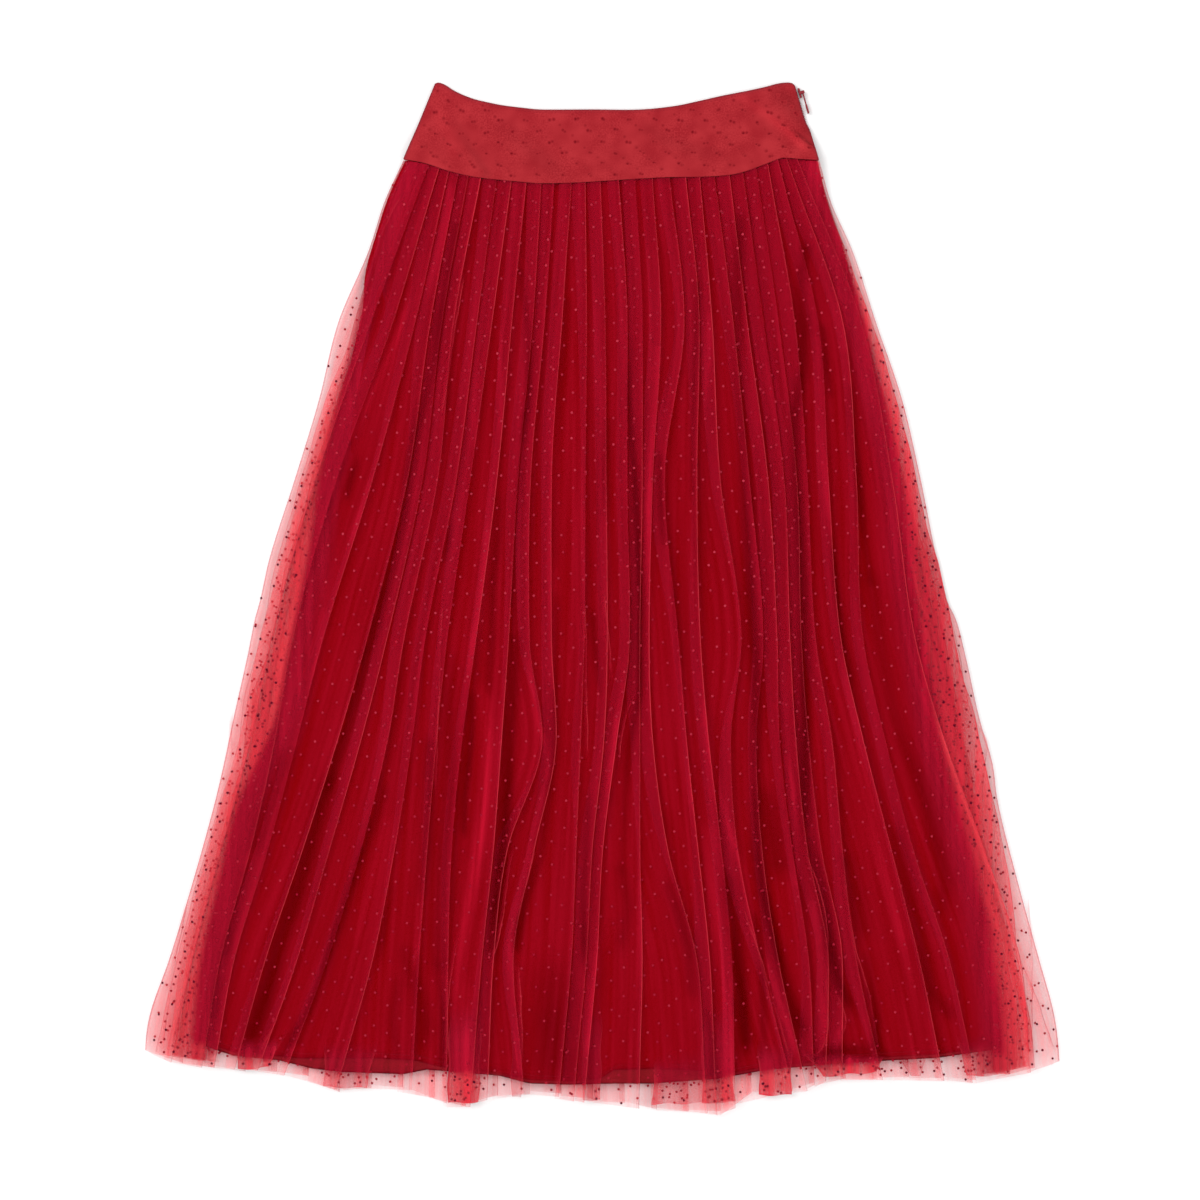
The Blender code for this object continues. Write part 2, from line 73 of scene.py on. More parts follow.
# The net's uneven hem and the linings' hems, left to right
NET_HEM = [
    (-393, 833), (-382, 841), (-345, 847), (-304, 852), (-262, 857), (-247, 860), (-221, 871),
    (-206, 866), (-150, 871), (-127, 885), (-104, 876), (-60, 871), (-20, 876), (20, 879), (43, 886),
    (80, 888), (101, 889), (115, 881), (133, 865), (152, 872), (176, 868), (189, 858), (232, 858),
    (285, 857), (317, 861), (350, 855), (367, 851), (393, 842),
]  # fmt: skip
BACK_LINING_HEM = [
    (-355, 825), (-336, 833), (-317, 839), (-277, 843), (-248, 850), (-223, 853), (-169, 855),
    (-149, 851), (-87, 856), (-60, 863), (-26, 864), (15, 863), (45, 863), (101, 859), (145, 851),
    (215, 845), (289, 841), (344, 833),
]  # fmt: skip
FRONT_LINING_HEM = [
    (-355, 823), (-317, 836), (-257, 841), (-192, 841), (-158, 843), (-140, 848), (-87, 854),
    (-60, 860), (-26, 861), (0, 859), (12, 851), (45, 850), (90, 852), (104, 856), (145, 848),
    (215, 842), (289, 838), (344, 830),
]  # fmt: skip

# Side edges at each section down the skirt, as distances from the centre line
Section = namedtuple("Section", "drop net_left lining_left lining_right net_right")
SECTIONS = [Section(*row) for row in [
    (67, -172, -168, 185, 186), (102, -188, -183, 194, 196), (145, -202, -195, 208, 215),
    (206, -228, -209, 224, 235), (274, -245, -225, 241, 258), (343, -266, -242, 256, 274),
    (412, -288, -252, 265, 288), (448, -296, -259, 270, 297), (462, -300, -262, 272, 304),
    (492, -306, -268, 277, 312), (550, -319, -280, 286, 325), (588, -327, -297, 295, 336),
    (618, -334, -311, 303, 340), (687, -353, -329, 324, 357), (756, -374, -344, 337, 376),
    (808, -392, -350, 344, 390), (860, -396, -356, 344, 395),
]]  # fmt: skip

# The front's folds, left to right. The columns give each fold's distance from the centre line at
# the drops in FOLD_DROPS, and how far it stands up at the hem, in cloth layers.
FOLD_DROPS = (89, 206, 343, 481, 567, 661, 756, 842)
Fold = namedtuple("Fold", "x89 x206 x343 x481 x567 x661 x756 x842 loft")
FOLDS = [Fold(*row) for row in [
    (-156, -199, -247, -285, -303, -328, -353, -371, 1.0),
    (-145, -180, -229, -267, -282, -303, -329, -344, 1.1),
    (-135, -161, -198, -241, -263, -288, -317, -333, 1.0),
    (-126, -148, -168, -203, -228, -258, -290, -314, 1.8),
    (-117, -138, -155, -186, -208, -235, -263, -293, 1.0),
    (-106, -128, -142, -171, -185, -208, -237, -269, 1.5),
    (-92, -108, -126, -153, -164, -179, -198, -222, 1.1),
    (-79, -95, -114, -134, -143, -151, -158, -163, 1.1),
    (-66, -78, -91, -109, -121, -130, -133, -134, 1.5), (-53, -60, -73, -81, -87, -94, -104, -111, 1.8),
    (-42, -50, -62, -63, -52, -82, -94, -98, 1.4), (-27, -35, -44, -44, -40, -59, -77, -70, 1.1),
    (-15, -14, -15, -16, -19, -23, -27, -35, 1.2), (-2, 2, 3, 4, 1, -9, -14, -22, 1.0),
    (14, 21, 21, 23, 12, 0, -5, -13, 1.7), (28, 34, 34, 32, 32, 32, 34, 32, 1.0),
    (43, 50, 43, 40, 43, 56, 81, 87, 1.2), (58, 70, 53, 65, 72, 82, 92, 96, 1.5),
    (72, 83, 81, 84, 91, 102, 111, 113, 1.7), (84, 94, 101, 119, 110, 116, 136, 157, 1.2),
    (97, 112, 126, 138, 132, 137, 151, 170, 1.4), (110, 124, 142, 150, 152, 163, 177, 181, 1.6),
    (122, 138, 156, 161, 166, 176, 194, 192, 1.7), (134, 151, 167, 171, 177, 188, 206, 206, 1.0),
    (145, 165, 176, 183, 197, 206, 218, 237, 1.6), (156, 185, 194, 205, 224, 248, 272, 290, 1.7),
    (166, 206, 218, 224, 243, 267, 298, 317, 1.1), (176, 222, 249, 269, 294, 328, 359, 367, 1.0),
]]  # fmt: skip

# Side plies of the net, folded under the pleats on each side: at each drop, the distance from the
# centre line of the outer ply's fold and of the inner ply's fold
Ply = namedtuple("Ply", "drop left_outer left_inner right_inner right_outer")
PLIES = [Ply(*row) for row in [
    (68, -172, -168, 180, 185), (104, -187, -181, 189, 194), (150, -198, -193, 204, 211),
    (185, -208, -201, 217, 224), (233, -222, -214, 231, 241), (274, -239, -229, 243, 253),
    (335, -258, -249, 258, 269), (386, -273, -263, 271, 280), (416, -282, -273, 281, 290),
    (459, -291, -281, 290, 299), (485, -297, -286, 296, 304), (511, -304, -296, 300, 310),
    (532, -310, -304, 305, 317), (584, -316, -311, 313, 329), (618, -331, -321, 321, 337),
    (653, -340, -330, 325, 345), (687, -351, -341, 334, 351), (739, -364, -353, 346, 357),
    (790, -377, -362, 357, 365), (829, -385, -371, 364, 367),
]]  # fmt: skip

# Plies of the net that show below the linings: their corners as (across, drop), and their cover
HemPly = namedtuple("HemPly", "top_left top_right bottom_right bottom_left cover")
HEM_PLIES = [HemPly(*row) for row in [
    ((-312, 822), (-278, 822), (-288, 849), (-315, 851), 0.75),
    ((-239, 825), (-194, 825), (-204, 867), (-241, 866), 0.5),
    ((-132, 790), (-104, 790), (-107, 879), (-134, 880), 0.95),
    ((-78, 790), (-69, 790), (-70, 875), (-79, 875), 0.35),
    ((-17, 790), (-1, 790), (-2, 877), (-18, 877), 0.5),
    ((45, 838), (109, 825), (114, 879), (42, 881), 0.45),
    ((84, 790), (109, 790), (112, 878), (86, 880), 0.6),
    ((133, 825), (163, 825), (162, 873), (135, 873), 0.85),
    ((169, 833), (243, 838), (236, 853), (190, 857), 0.85),
    ((252, 838), (280, 838), (273, 856), (266, 857), 0.4),
    ((303, 820), (354, 820), (350, 855), (314, 857), 0.6),
]]  # fmt: skip

# Thin creases of the front net, each a line of (across, drop) points that shows as a bright edge
CREASES = [
    [(-119, 164), (-130, 233), (-139, 292)], [(-138, 446), (-141, 532), (-144, 614)],
    [(29, 524), (22, 541), (16, 567), (13, 588)], [(1, 433), (8, 515)], [(-15, 446), (-13, 584)],
    [(-123, 730), (-130, 765), (-133, 799), (-134, 846)], [(-73, 756), (-69, 825), (-69, 848)],
    [(-58, 657), (-67, 696), (-83, 743)], [(-77, 657), (-89, 734), (-95, 760)],
    [(119, 704), (135, 752), (155, 820), (161, 844)], [(200, 782), (209, 806), (198, 838)],
    [(206, 679), (217, 743), (230, 790), (238, 835)],
    [(172, 657), (191, 713), (193, 773), (188, 832), (173, 844)],
    [(-280, 806), (-290, 825), (-299, 839)], [(-270, 815), (-279, 830), (-287, 844)],
    [(-156, 739), (-165, 765)],
    [(-170, 93), (-182, 114), (-191, 132), (-196, 149), (-203, 177), (-209, 197)],
    [(-319, 541), (-320, 562), (-320, 584)], [(-341, 687), (-355, 756), (-366, 825)],
    [(-358, 704), (-371, 773), (-378, 830)], [(-348, 720), (-362, 790), (-371, 838)],
    [(295, 443), (305, 482), (312, 522), (320, 548), (331, 570), (328, 597), (326, 640), (331, 684),
     (344, 723), (355, 741), (362, 763), (374, 790), (386, 826), (391, 838)],
    [(348, 742), (361, 762)], [(367, 700), (370, 760), (368, 835)],
]  # fmt: skip

# Soft marks: a width, and points as (across, drop, depth or height). Those of the front come first.
MARK_REACH = 2.5  # how far a mark goes, in its own widths
# Troughs: the cloth lies lower along them, and its colour there is darkened with painted shade
TROUGHS = [
    (3.1, [(24, 224, 0.2), (23, 271, 0.6), (25, 309, 0.8), (28, 352, 0.9), (30, 395, 0.9),
        (32, 446, 0.9), (32, 524, 0.8), (27, 551, 0.6), (22, 575, 0.5), (19, 618, 0.35),
        (17, 679, 0.2)]),
    (5.2, [(119, 120, 0.5), (116, 172, 0.5), (117, 239, 0.35), (120, 316, 0.4), (123, 378, 0.6),
        (127, 438, 0.8), (132, 515, 0.65), (132, 601, 0.5), (132, 661, 0.7), (139, 704, 1),
        (150, 747, 1), (159, 782, 0.7), (169, 812, 0.9), (169, 825, 0.3)]),
    (4.7, [(175, 143, 0.5), (169, 180, 0.4), (173, 214, 0.8), (173, 249, 0.6), (165, 284, 0.6),
        (166, 339, 0.6), (169, 386, 0.8), (172, 446, 0.8), (175, 550, 1), (174, 610, 0.9),
        (175, 648, 0.4), (182, 672, 0.5), (190, 704, 0.7), (196, 743, 1.1), (202, 773, 1),
        (212, 795, 0.8)]),
    (4.3, [(-127, 124, 0.35), (-133, 165, 0.45), (-140, 204, 0.7), (-145, 242, 0.5), (-151, 270, 0.4),
        (-161, 300, 0.5), (-167, 335, 0.45), (-171, 374, 0.4), (-180, 408, 0.4), (-194, 464, 0.5),
        (-205, 498, 0.45), (-212, 532, 0.45), (-222, 567, 0.5), (-235, 605, 0.6)]),
    (6.9, [(-235, 605, 0.5), (-245, 637, 0.6), (-255, 672, 0.7), (-266, 709, 0.8), (-278, 743, 0.8),
        (-286, 773, 0.9), (-293, 797, 1), (-302, 825, 0.8)]),
    (3.4, [(-211, 326, 0.3), (-217, 341, 0.8), (-221, 357, 0.5)]),
    (2.6, [(-130, 380, 0.2), (-134, 399, 0.6), (-136, 412, 0.2)]),
    (3.4, [(-88, 360, 0.2), (-91, 396, 0.5), (-95, 433, 0.6), (-96, 481, 0.5), (-99, 524, 0.3)]),
    (4.7, [(-75, 481, 0.4), (-77, 524, 0.6), (-80, 567, 0.7), (-82, 610, 1), (-85, 644, 1.1),
        (-89, 679, 1.1), (-93, 713, 1.1), (-95, 747, 0.6)]),
    (2.8, [(-112, 531, 0.4), (-113, 561, 0.7), (-116, 590, 0.8), (-119, 618, 0.7), (-120, 647, 0.6)]),
    (6.0, [(-130, 498, 0.2), (-133, 532, 0.35), (-133, 584, 0.35), (-135, 627, 0.3), (-139, 679, 0.3),
        (-142, 730, 0.35), (-142, 762, 0.4)]),
    (3.4, [(-142, 762, 0.2), (-138, 799, 0.6), (-138, 825, 0.7), (-139, 849, 0.6)]),
    (6.0, [(-149, 571, 0.35), (-149, 610, 0.35), (-151, 653, 0.3), (-156, 696, 0.25)]),
    (7.7, [(-170, 752, 0.25), (-157, 790, 0.4), (-154, 812, 0.5), (-159, 833, 0.35)]),
    (3.9, [(-188, 610, 0.35), (-198, 642, 0.45), (-209, 670, 0.45), (-220, 702, 0.45), (-229, 728, 0.5),
        (-237, 753, 0.5), (-246, 779, 0.45), (-255, 802, 0.5), (-269, 825, 0.6), (-277, 838, 0.5)]),
    (3.0, [(-181, 696, 0.2), (-187, 722, 0.4), (-190, 741, 0.45), (-193, 756, 0.2)]),
    (3.9, [(-307, 679, 0.3), (-317, 717, 0.35), (-324, 746, 0.55), (-328, 758, 0.2)]),
    (3.9, [(-331, 771, 0.3), (-334, 790, 0.5), (-335, 806, 0.3)]),
    (6.9, [(-274, 581, 0.25), (-288, 618, 0.3), (-300, 657, 0.3)]),
    (3.4, [(-40, 446, 0.35), (-41, 532, 0.3), (-46, 618, 0.35), (-53, 664, 0.5), (-64, 697, 0.7),
        (-71, 723, 1), (-74, 746, 0.7)]),
    (3.0, [(-12, 618, 0.3), (-15, 661, 0.4), (-17, 704, 0.5), (-17, 741, 0.8), (-17, 758, 0.3)]),
    (18.9, [(-44, 777, 0.3), (-44, 808, 0.5), (-44, 842, 0.45)]),
    (3.0, [(-9, 457, 0.4), (-6, 498, 0.5), (-3, 524, 0.2)]),
    (4.3, [(5, 292, 0.2), (3, 332, 0.35), (3, 369, 0.2)]),
    (3.0, [(-71, 163, 0.25), (-64, 214, 0.4), (-64, 274, 0.5), (-70, 309, 0.3)]),
    (3.4, [(-30, 188, 0.3), (-33, 240, 0.35), (-37, 284, 0.25), (-40, 348, 0.2), (-41, 413, 0.25)]),
    (2.6, [(49, 322, 0.4), (50, 365, 0.6), (52, 399, 0.35)]),
    (3.0, [(82, 175, 0.4), (80, 220, 0.4), (78, 268, 0.5), (77, 316, 0.35), (77, 358, 0.25)]),
    (3.0, [(190, 214, 0.4), (192, 242, 0.6), (196, 270, 0.3)]),
    (3.4, [(213, 265, 0.3), (218, 316, 0.5), (222, 358, 0.75), (225, 390, 0.5), (230, 429, 0.4)]),
    (6.9, [(231, 429, 0.3), (238, 481, 0.3), (247, 532, 0.3), (258, 567, 0.35), (270, 597, 0.5),
        (280, 629, 0.5), (287, 657, 0.5), (295, 683, 0.4), (293, 709, 0.3)]),
    (3.0, [(197, 395, 0.35), (202, 446, 0.5), (207, 485, 0.4), (215, 515, 0.25)]),
    (5.2, [(253, 647, 0.3), (263, 690, 0.4), (270, 722, 0.4), (278, 756, 0.5), (283, 784, 0.55),
        (298, 802, 0.4)]),
    (5.2, [(108, 687, 0.4), (113, 719, 0.5), (116, 747, 0.8), (119, 777, 1.1), (121, 803, 1.2),
        (123, 825, 1.1), (123, 835, 0.4)]),
    (3.4, [(132, 720, 0.4), (137, 756, 0.6), (138, 799, 0.55), (138, 842, 0.35)]),
    (3.9, [(228, 756, 0.3), (230, 777, 0.5), (235, 805, 0.8), (236, 829, 0.9), (243, 840, 0.5)]),
    (3.0, [(89, 799, 0.3), (93, 829, 0.55), (95, 857, 0.6)]),
    (5.2, [(56, 691, 0.3), (66, 719, 0.5), (74, 747, 0.5), (77, 784, 0.35)]),
    (5.2, [(16, 679, 0.3), (22, 709, 0.35), (16, 743, 0.3)]),
    (7.7, [(210, 670, 0.3), (217, 700, 0.4), (223, 730, 0.3)]),
    (10.3, [(140, 618, 0.35), (145, 644, 0.45), (150, 674, 0.45)]),
    (5.2, [(182, 842, 0.6), (200, 835, 0.8), (230, 835, 0.6)]),
    (4.3, [(-177, 777, 0.3), (-181, 808, 0.35), (-178, 838, 0.3)]),
]  # fmt: skip
# Ridges: the cloth lies higher along them, and its colour there is lightened with painted light
RIDGES = [
    (2.6, [(-165, 187, 0.25), (-178, 220, 0.4), (-191, 252, 0.45), (-204, 281, 0.4), (-217, 310, 0.3)]),
    (4.7, [(-131, 94, 0.35), (-132, 113, 0.5), (-138, 137, 0.5), (-145, 161, 0.45), (-150, 180, 0.25)]),
    (2.6, [(-202, 343, 0.25), (-212, 380, 0.4), (-218, 399, 0.2)]),
    (3.4, [(-98, 387, 0.3), (-102, 428, 0.5), (-106, 461, 0.5), (-111, 483, 0.5), (-114, 511, 0.3)]),
    (3.9, [(48, 231, 0.35), (46, 279, 0.5), (41, 326, 0.5), (39, 365, 0.65), (40, 413, 0.45),
        (43, 472, 0.35), (45, 532, 0.4), (49, 584, 0.35), (55, 624, 0.3)]),
    (3.4, [(92, 206, 0.35), (90, 239, 0.4), (86, 278, 0.35), (83, 316, 0.35), (83, 352, 0.2)]),
    (2.1, [(-89, 214, 0.25), (-88, 257, 0.35), (-88, 300, 0.3)]),
    (3.4, [(-109, 249, 0.2), (-111, 284, 0.3), (-109, 317, 0.2)]),
    (3.4, [(-42, 274, 0.2), (-43, 317, 0.3), (-44, 360, 0.25), (-43, 446, 0.35), (-43, 518, 0.35)]),
    (3.4, [(186, 223, 0.25), (188, 316, 0.35), (191, 348, 0.35), (193, 374, 0.25)]),
    (3.4, [(202, 180, 0.3), (206, 201, 0.4), (209, 231, 0.3)]),
    (5.6, [(-102, 524, 0.4), (-100, 567, 0.6), (-101, 618, 0.7), (-106, 654, 0.85), (-112, 691, 0.7),
        (-120, 728, 0.6), (-126, 762, 0.55), (-131, 788, 0.4), (-132, 808, 0.2)]),
    (2.6, [(-63, 502, 0.3), (-58, 543, 0.45), (-50, 571, 0.55), (-47, 597, 0.3)]),
    (4.7, [(13, 551, 0.4), (8, 590, 0.55), (6, 633, 0.55), (4, 679, 0.5), (3, 717, 0.5), (-4, 754, 0.5),
        (-10, 784, 0.45), (-13, 833, 0.55)]),
    (3.4, [(-81, 743, 0.25), (-77, 762, 0.4), (-73, 805, 0.45), (-71, 849, 0.6)]),
    (7.7, [(-120, 782, 0.3), (-120, 816, 0.4), (-118, 849, 0.6)]),
    (1.7, [(-157, 741, 0.3), (-161, 750, 0.5), (-164, 760, 0.3)]),
    (3.4, [(-241, 461, 0.25), (-246, 498, 0.3), (-252, 524, 0.2)]),
    (5.2, [(-185, 640, 0.25), (-194, 676, 0.35), (-203, 704, 0.3), (-213, 734, 0.25)]),
    (3.1, [(102, 621, 0.4), (111, 651, 0.6), (120, 676, 0.6), (125, 704, 0.45), (130, 733, 0.4),
        (138, 753, 0.5), (147, 777, 0.55), (156, 805, 0.6), (164, 830, 0.6)]),
    (5.6, [(90, 647, 0.4), (93, 690, 0.5), (99, 733, 0.55), (103, 762, 0.55), (107, 805, 0.5),
        (108, 851, 0.6)]),
    (2.4, [(157, 581, 0.4), (163, 607, 0.6), (165, 647, 0.4), (167, 690, 0.25)]),
    (5.2, [(180, 709, 0.35), (182, 739, 0.45), (185, 773, 0.4), (190, 808, 0.45), (192, 825, 0.35)]),
    (2.4, [(206, 786, 0.4), (210, 799, 0.6), (205, 816, 0.6), (198, 831, 0.4)]),
    (9.5, [(206, 518, 0.2), (218, 561, 0.3), (226, 604, 0.3), (233, 647, 0.25), (245, 690, 0.25),
        (257, 733, 0.3)]),
    (2.4, [(266, 412, 0.25), (271, 446, 0.35), (275, 489, 0.4), (278, 526, 0.4), (285, 552, 0.35),
        (298, 577, 0.3), (307, 594, 0.2)]),
    (2.6, [(68, 502, 0.35), (72, 541, 0.5), (76, 590, 0.4), (77, 623, 0.3)]),
    (3.4, [(87, 538, 0.3), (94, 584, 0.4), (102, 621, 0.4)]),
    (2.1, [(221, 747, 0.3), (227, 776, 0.4), (233, 808, 0.4)]),
    (11.2, [(36, 696, 0.2), (36, 734, 0.35), (39, 777, 0.2)]),
    (3.9, [(264, 618, 0.15), (274, 657, 0.25), (283, 691, 0.25)]),
    (4.3, [(-304, 830, 0.3), (-261, 835, 0.3)]),
]  # fmt: skip
# The yoke's creases: it lies lower along them, and its colour there is darkened with painted shade
YOKE_MARKS = [
    (8.0, [(147, 4, 0.15), (160, 16, 0.35), (174, 32, 0.4), (184, 48, 0.45)]),
    (1.3, [(166, 43, 0.3), (175, 51, 0.8), (181, 56, 0.5)]),
    (4.0, [(-129, 32, 0.05), (-115, 56, 0.2), (-100, 80, 0.25)]),
    (9.0, [(-84, 40, 0.1), (-60, 60, 0.15), (-40, 78, 0.1)]),
    (7.0, [(40, 40, 0.1), (60, 52, 0.15), (90, 62, 0.1)]),
]  # fmt: skip
# Its ridges: it lies higher along them, and its colour there is lightened with painted light
YOKE_RIDGES = [
    (4.0, [(118, 12, 0.1), (138, 26, 0.22), (158, 42, 0.35), (172, 56, 0.35)]),
    (6.0, [(-140, 30, 0.1), (-128, 60, 0.12)]),
]  # fmt: skip

# The side plies' names, their fold's column in PLIES, order down from the front net, how much they
# cover at the fold and at the lining's edge, how far they reach over the lining, and how far their
# colour has turned to that of the net on the lining where they come to its edge. The last column is
# how much more they cover in the middle of their length.
# That turn goes from the net's painted light, alone, to its painted shade on the lining
SIDE_PLIES = [
    ("left_outer_ply", "left_outer", 1, 0.14, 0.6, 16, 0.4, 0.0),
    ("left_inner_ply", "left_inner", 2, 0.34, 0.95, 26, 0.95, 0.0),
    ("right_inner_ply", "right_inner", 2, 0.5, 0.95, 26, 0.95, 0.25),
    ("right_outer_ply", "right_outer", 1, 0.42, 0.85, 16, 0.85, 0.38),
]

# Heights of the sheets' bases from the surface, and of the side edges, where the two nets meet
BACK_NET_Z = 0.25
BACK_LINING_Z = 4.95
FRONT_LINING_Z = 6.35
FRONT_NET_Z = 7.7
SIDE_Z = 2.6
EDGES_APART = 0.1  # how far above or below the side edge's height each net's own edge lies
BACK_LINING_UNDER = 0.25  # how far below it the back lining's edge aims
MARGIN_FALL = 8.0  # width over which the sheets come down to the side edges

SEAM_GAP = 0.3  # between the yokes and the cloth sewn to them
SEAM_HOLD = 8  # how soon the cloth below the seam stops following its curve
DENSE_TO = (135, 200)  # drops between which the lining's left edge leaves the net's
DENSE_INSET = 1.8  # how far inside of the net's edge the lining lies above that
CLEAR_ASIDE = 7.0  # distance beside the lining at which the net lies well clear of it
CLEAR_BELOW = 4.0  # and the distance below its hem

LAYER = 1.5  # height of one level of the folds
PLEAT_CLOTH = 37.0  # width of cloth in each pleat: a face and its underlap, there and back
LEAST_TUCK = 2.6  # an underlap's least width
MOST_TUCK = 0.92  # and its widest, as a share of its pleat's face
BACK_FIRST = 0.9  # the first back fold's distance from the side, in pleat widths
BACK_WIDTHS = len(FOLDS) + 0.4
BACK_TOP = 2.6 * LAYER  # height of the back net's highest layer above its base
BACK_LEAST = 0.02
OPEN_BY = 0.75  # share of the way down at which the pleats have opened
PRESSED = 0.5  # a pleat's height at the seam, as a share of its own
PRESSED_TO = 0.04  # share of the way down to which the seam presses it
FOLD_SWAY = ((0.16, 5), (0.1, 13))  # heights and turns of the waves in a pleat's height
LINE_SWAY = ((0.3, 4), (0.25, 11))  # and in the strength of its fold's line
LINE_MEAN, LINE_LEAST = 0.55, 0.12
FACE_BEND = 0.75  # below 1 a face rises soon and flattens towards its fold
FRONT_FULLNESS, BACK_FULLNESS = 0.9, 0.2  # how much softer the faces rise at the hem
CREST_DIP = 0.14  # share of the height that an open fold loses again at its crest
FOLD_BASE = 0.1
NET_FLOOR = 0.17  # height of the lowest layer
HIDDEN_EDGE_Z = 0.35
HEM_SWAY = 2.2  # how much higher or lower each pleat's hem may be
HEM_SWAY_FROM = 0.9  # share of the way down from where it moves
RIDGE_LIFT = 1.2  # how far a full ridge lifts the front net
TROUGH_FALL = 0.5  # share of a pleat's height that a full trough takes away

# Places of a pleat's columns: along the underlap's lower layer, over the face and back along the
# underlap's upper layer, as shares of each. Near the fold they are distances from it, with how
# strongly its line shows there.
LOWER_SHARES = (0.0, 0.06, 0.5, 0.85)
FACE_SHARES = (0.0, 0.07, 0.16, 0.28, 0.42, 0.56, 0.7, 0.82, 0.93, 1.0)
FACE_ENDS_AT = 1.3  # distance from the fold
BEFORE_FOLD = ((0.75, 0.25), (0.3, 0.8))
AFTER_FOLD = ((0.35, 0.5), (1.0, 0.0))
UPPER_SHARES = (0.25, 0.6, 0.92, 1.0)

SHADOW_LEAST = 0.16  # the shadow beside the flattest folds, as a trough's depth
SHADOW_LOFT = 0.5  # how much more for each layer that a fold stands up
SHADOW_WIDTH = 5.5
SHADOW_SWAY = 0.4  # how much it comes and goes along a fold
SHADOW_AT_SEAM = 0.6  # its share at the seam
SHADOW_GROWS = (90, 340)  # drops between which it grows to all of it

NET_COVER = 0.19  # how much of the light one layer of net stops
FOLD_COVER = 0.12  # how much more it stops on the side of a face that nears its fold
# The net covers less in troughs and beside folds, as painted shade, and more on ridges, as painted light
TROUGH_COVER = 0.1  # how much less in a full trough
RIDGE_COVER = 0.16  # how much more again on a full ridge
EDGE_LINE = 0.6  # how far the net's side edges show as lines
LINE_BELOW = 0.55  # how much less a fold's line shows below the lining
FACE_BELOW, UNDERLAP_BELOW = 0.15, 0.6  # how much less faces and underlaps cover there
# Weights of the painted light on the front's ridges, the painted shadow beside its folds, the back net's
# uneven bands, and the painted light on the lining's ridges
FRONT_RIDGE_TONE, FRONT_SHADOW_TONE = 0.7, 0.8
BACK_TONE = 0.3
LINING_RIDGE_TONE = 0.3

PLY_Z = 7.15  # height of the plies over the lining
PLY_STEP = 0.12  # how much lower each deeper ply lies
PLY_BELOW_SEAM = 0.6
PLY_ABOVE_HEM = 2.5  # how much shorter than the net the plies are, with 1 more for each deeper one
PLY_TO_HEM = 6  # how late a ply turns to follow the hem
PLY_CROWDING = 1.3  # above 1 a ply's columns stand closer together near its fold
PLY_LINE = 0.5  # how far a ply's fold shows as a line
PLY_THICK_AT = (470, 120)  # drop at which the right plies are thickest, and for how long
PLY_SOON = 0.6  # below 1 a ply's cover rises soon after its fold
PLY_THINS = (250, 500)  # drops between which a fold's cover comes down to its own
PLY_TOP_COVER = 1.6  # its share above them

HEM_PLY_FALL = 2.2  # how much lower the hem plies lie where they are clear of the lining
HEM_PLY_STEP = 0.03
HEM_PLY_FADE = 0.45  # share of the way down over which a hem ply comes to its full cover
HEM_PLY_SIDE, HEM_PLY_HEM = 0.5, 0.25  # how far its side edges and its hem show as lines
# The net alone is painted lit through from the surface below
HEM_PLY_TURN = 0.5  # how far its colour turns to that of the net alone

# A crease's columns: distances across, how far each shows as the bright edge, heights and covers
CREASE_ACROSS = np.array([-3.2, -1.2, -0.42, 0.0, 0.42])
CREASE_LINE = np.array([0.0, 0.05, 0.3, 1.0, 0.0])
CREASE_Z = np.array([0.1, 0.35, 0.5, 0.5, 0.15])
CREASE_COVER = 0.14 * np.array([0, 1, 1, 1, 0])
CREASE_STEP = 4  # length of a crease to each of its rows
CREASE_TAPER = 14
CREASE_REACH = 5  # how far aside the net's highest point counts

DOT_RADIUS = 1.1
DOT_HEIGHT = 0.25
DOT_LIFT = 0.12
DOT_PITCH = 22.2  # between dots along the cloth's length
DOT_COLUMNS = 10.1  # between columns of dots, each half a pitch lower than the one before
DOT_ASIDE, DOT_DOWN = 2.3, 4.5  # how far a dot may lie from its own place
DOT_INSET = 0.8  # room between a dot and the ends of its pleat's cloth
DOTS_ABOVE_HEM = 4
DOT_AHEAD = 0.5  # distance over which the slope under a dot is taken
STEEPEST_DOT = 0.3  # the steepest slope of a dot
UNDERLAP_DOTS = 0.7  # the share of the dots that show on an underlap
DOT_FAINTEST = 0.85
DOT_FADES = (400, 750)  # drops between which the dots get fainter
DOT_FADES_BY = 0.32
PLY_DOT_LAYERS = 3
PLY_DOT_COLUMNS = 5
PLY_DOT_REACH = 4.0  # how far over the lining's edge the plies' dots go on
HEM_DOT_ROOM = 34.0  # square millimetres of the hem plies to each dot
HEM_DOT_Z = PLY_Z - 2.0

LINING_THICKNESS = 0.5
LINING_WAVE = 0.8  # how strong the lining's own waves are, away from the seam
LINING_WAVE_FROM = 0.2
LINING_RELIEF = 0.15  # how far the lining lies lower in a full trough
YOKE_THICKNESS = 1.3
YOKE_ROUNDING = 0.45
YOKE_REST = 0.45  # share of the way down to which the yokes lie on the surface
FRONT_YOKE_Z = 1.8
BACK_YOKE_LIFT = 3.0
FRONT_YOKE_LIFT = 6.5
YOKE_RELIEF = 1.6  # how far a full mark lowers the yoke
YOKE_WAVE = 0.25
YOKE_DEPTH, YOKE_WIDTH = 70, 330  # about, to measure from its rim
RIM_WIDTH = 1.6
YOKE_DOT_ROWS = 9.75
YOKE_DOT_RADIUS = 1.95
YOKE_DOT_LAYERS = [(0, 0, 0.45), (2.3, 0.5, 0.75), (8.1, 5.2, 1.0)]  # shift across and down, palest
YOKE_DOT_ASIDE = 0.9  # how far a dot may lie from its own place
YOKE_DOT_SPREAD = 0.45  # how much the dots of a layer differ in paleness
YOKE_DOT_CURVE = 0.0002  # how much the rows of dots bow down to the sides
YOKE_DOT_NEAR = 2.2

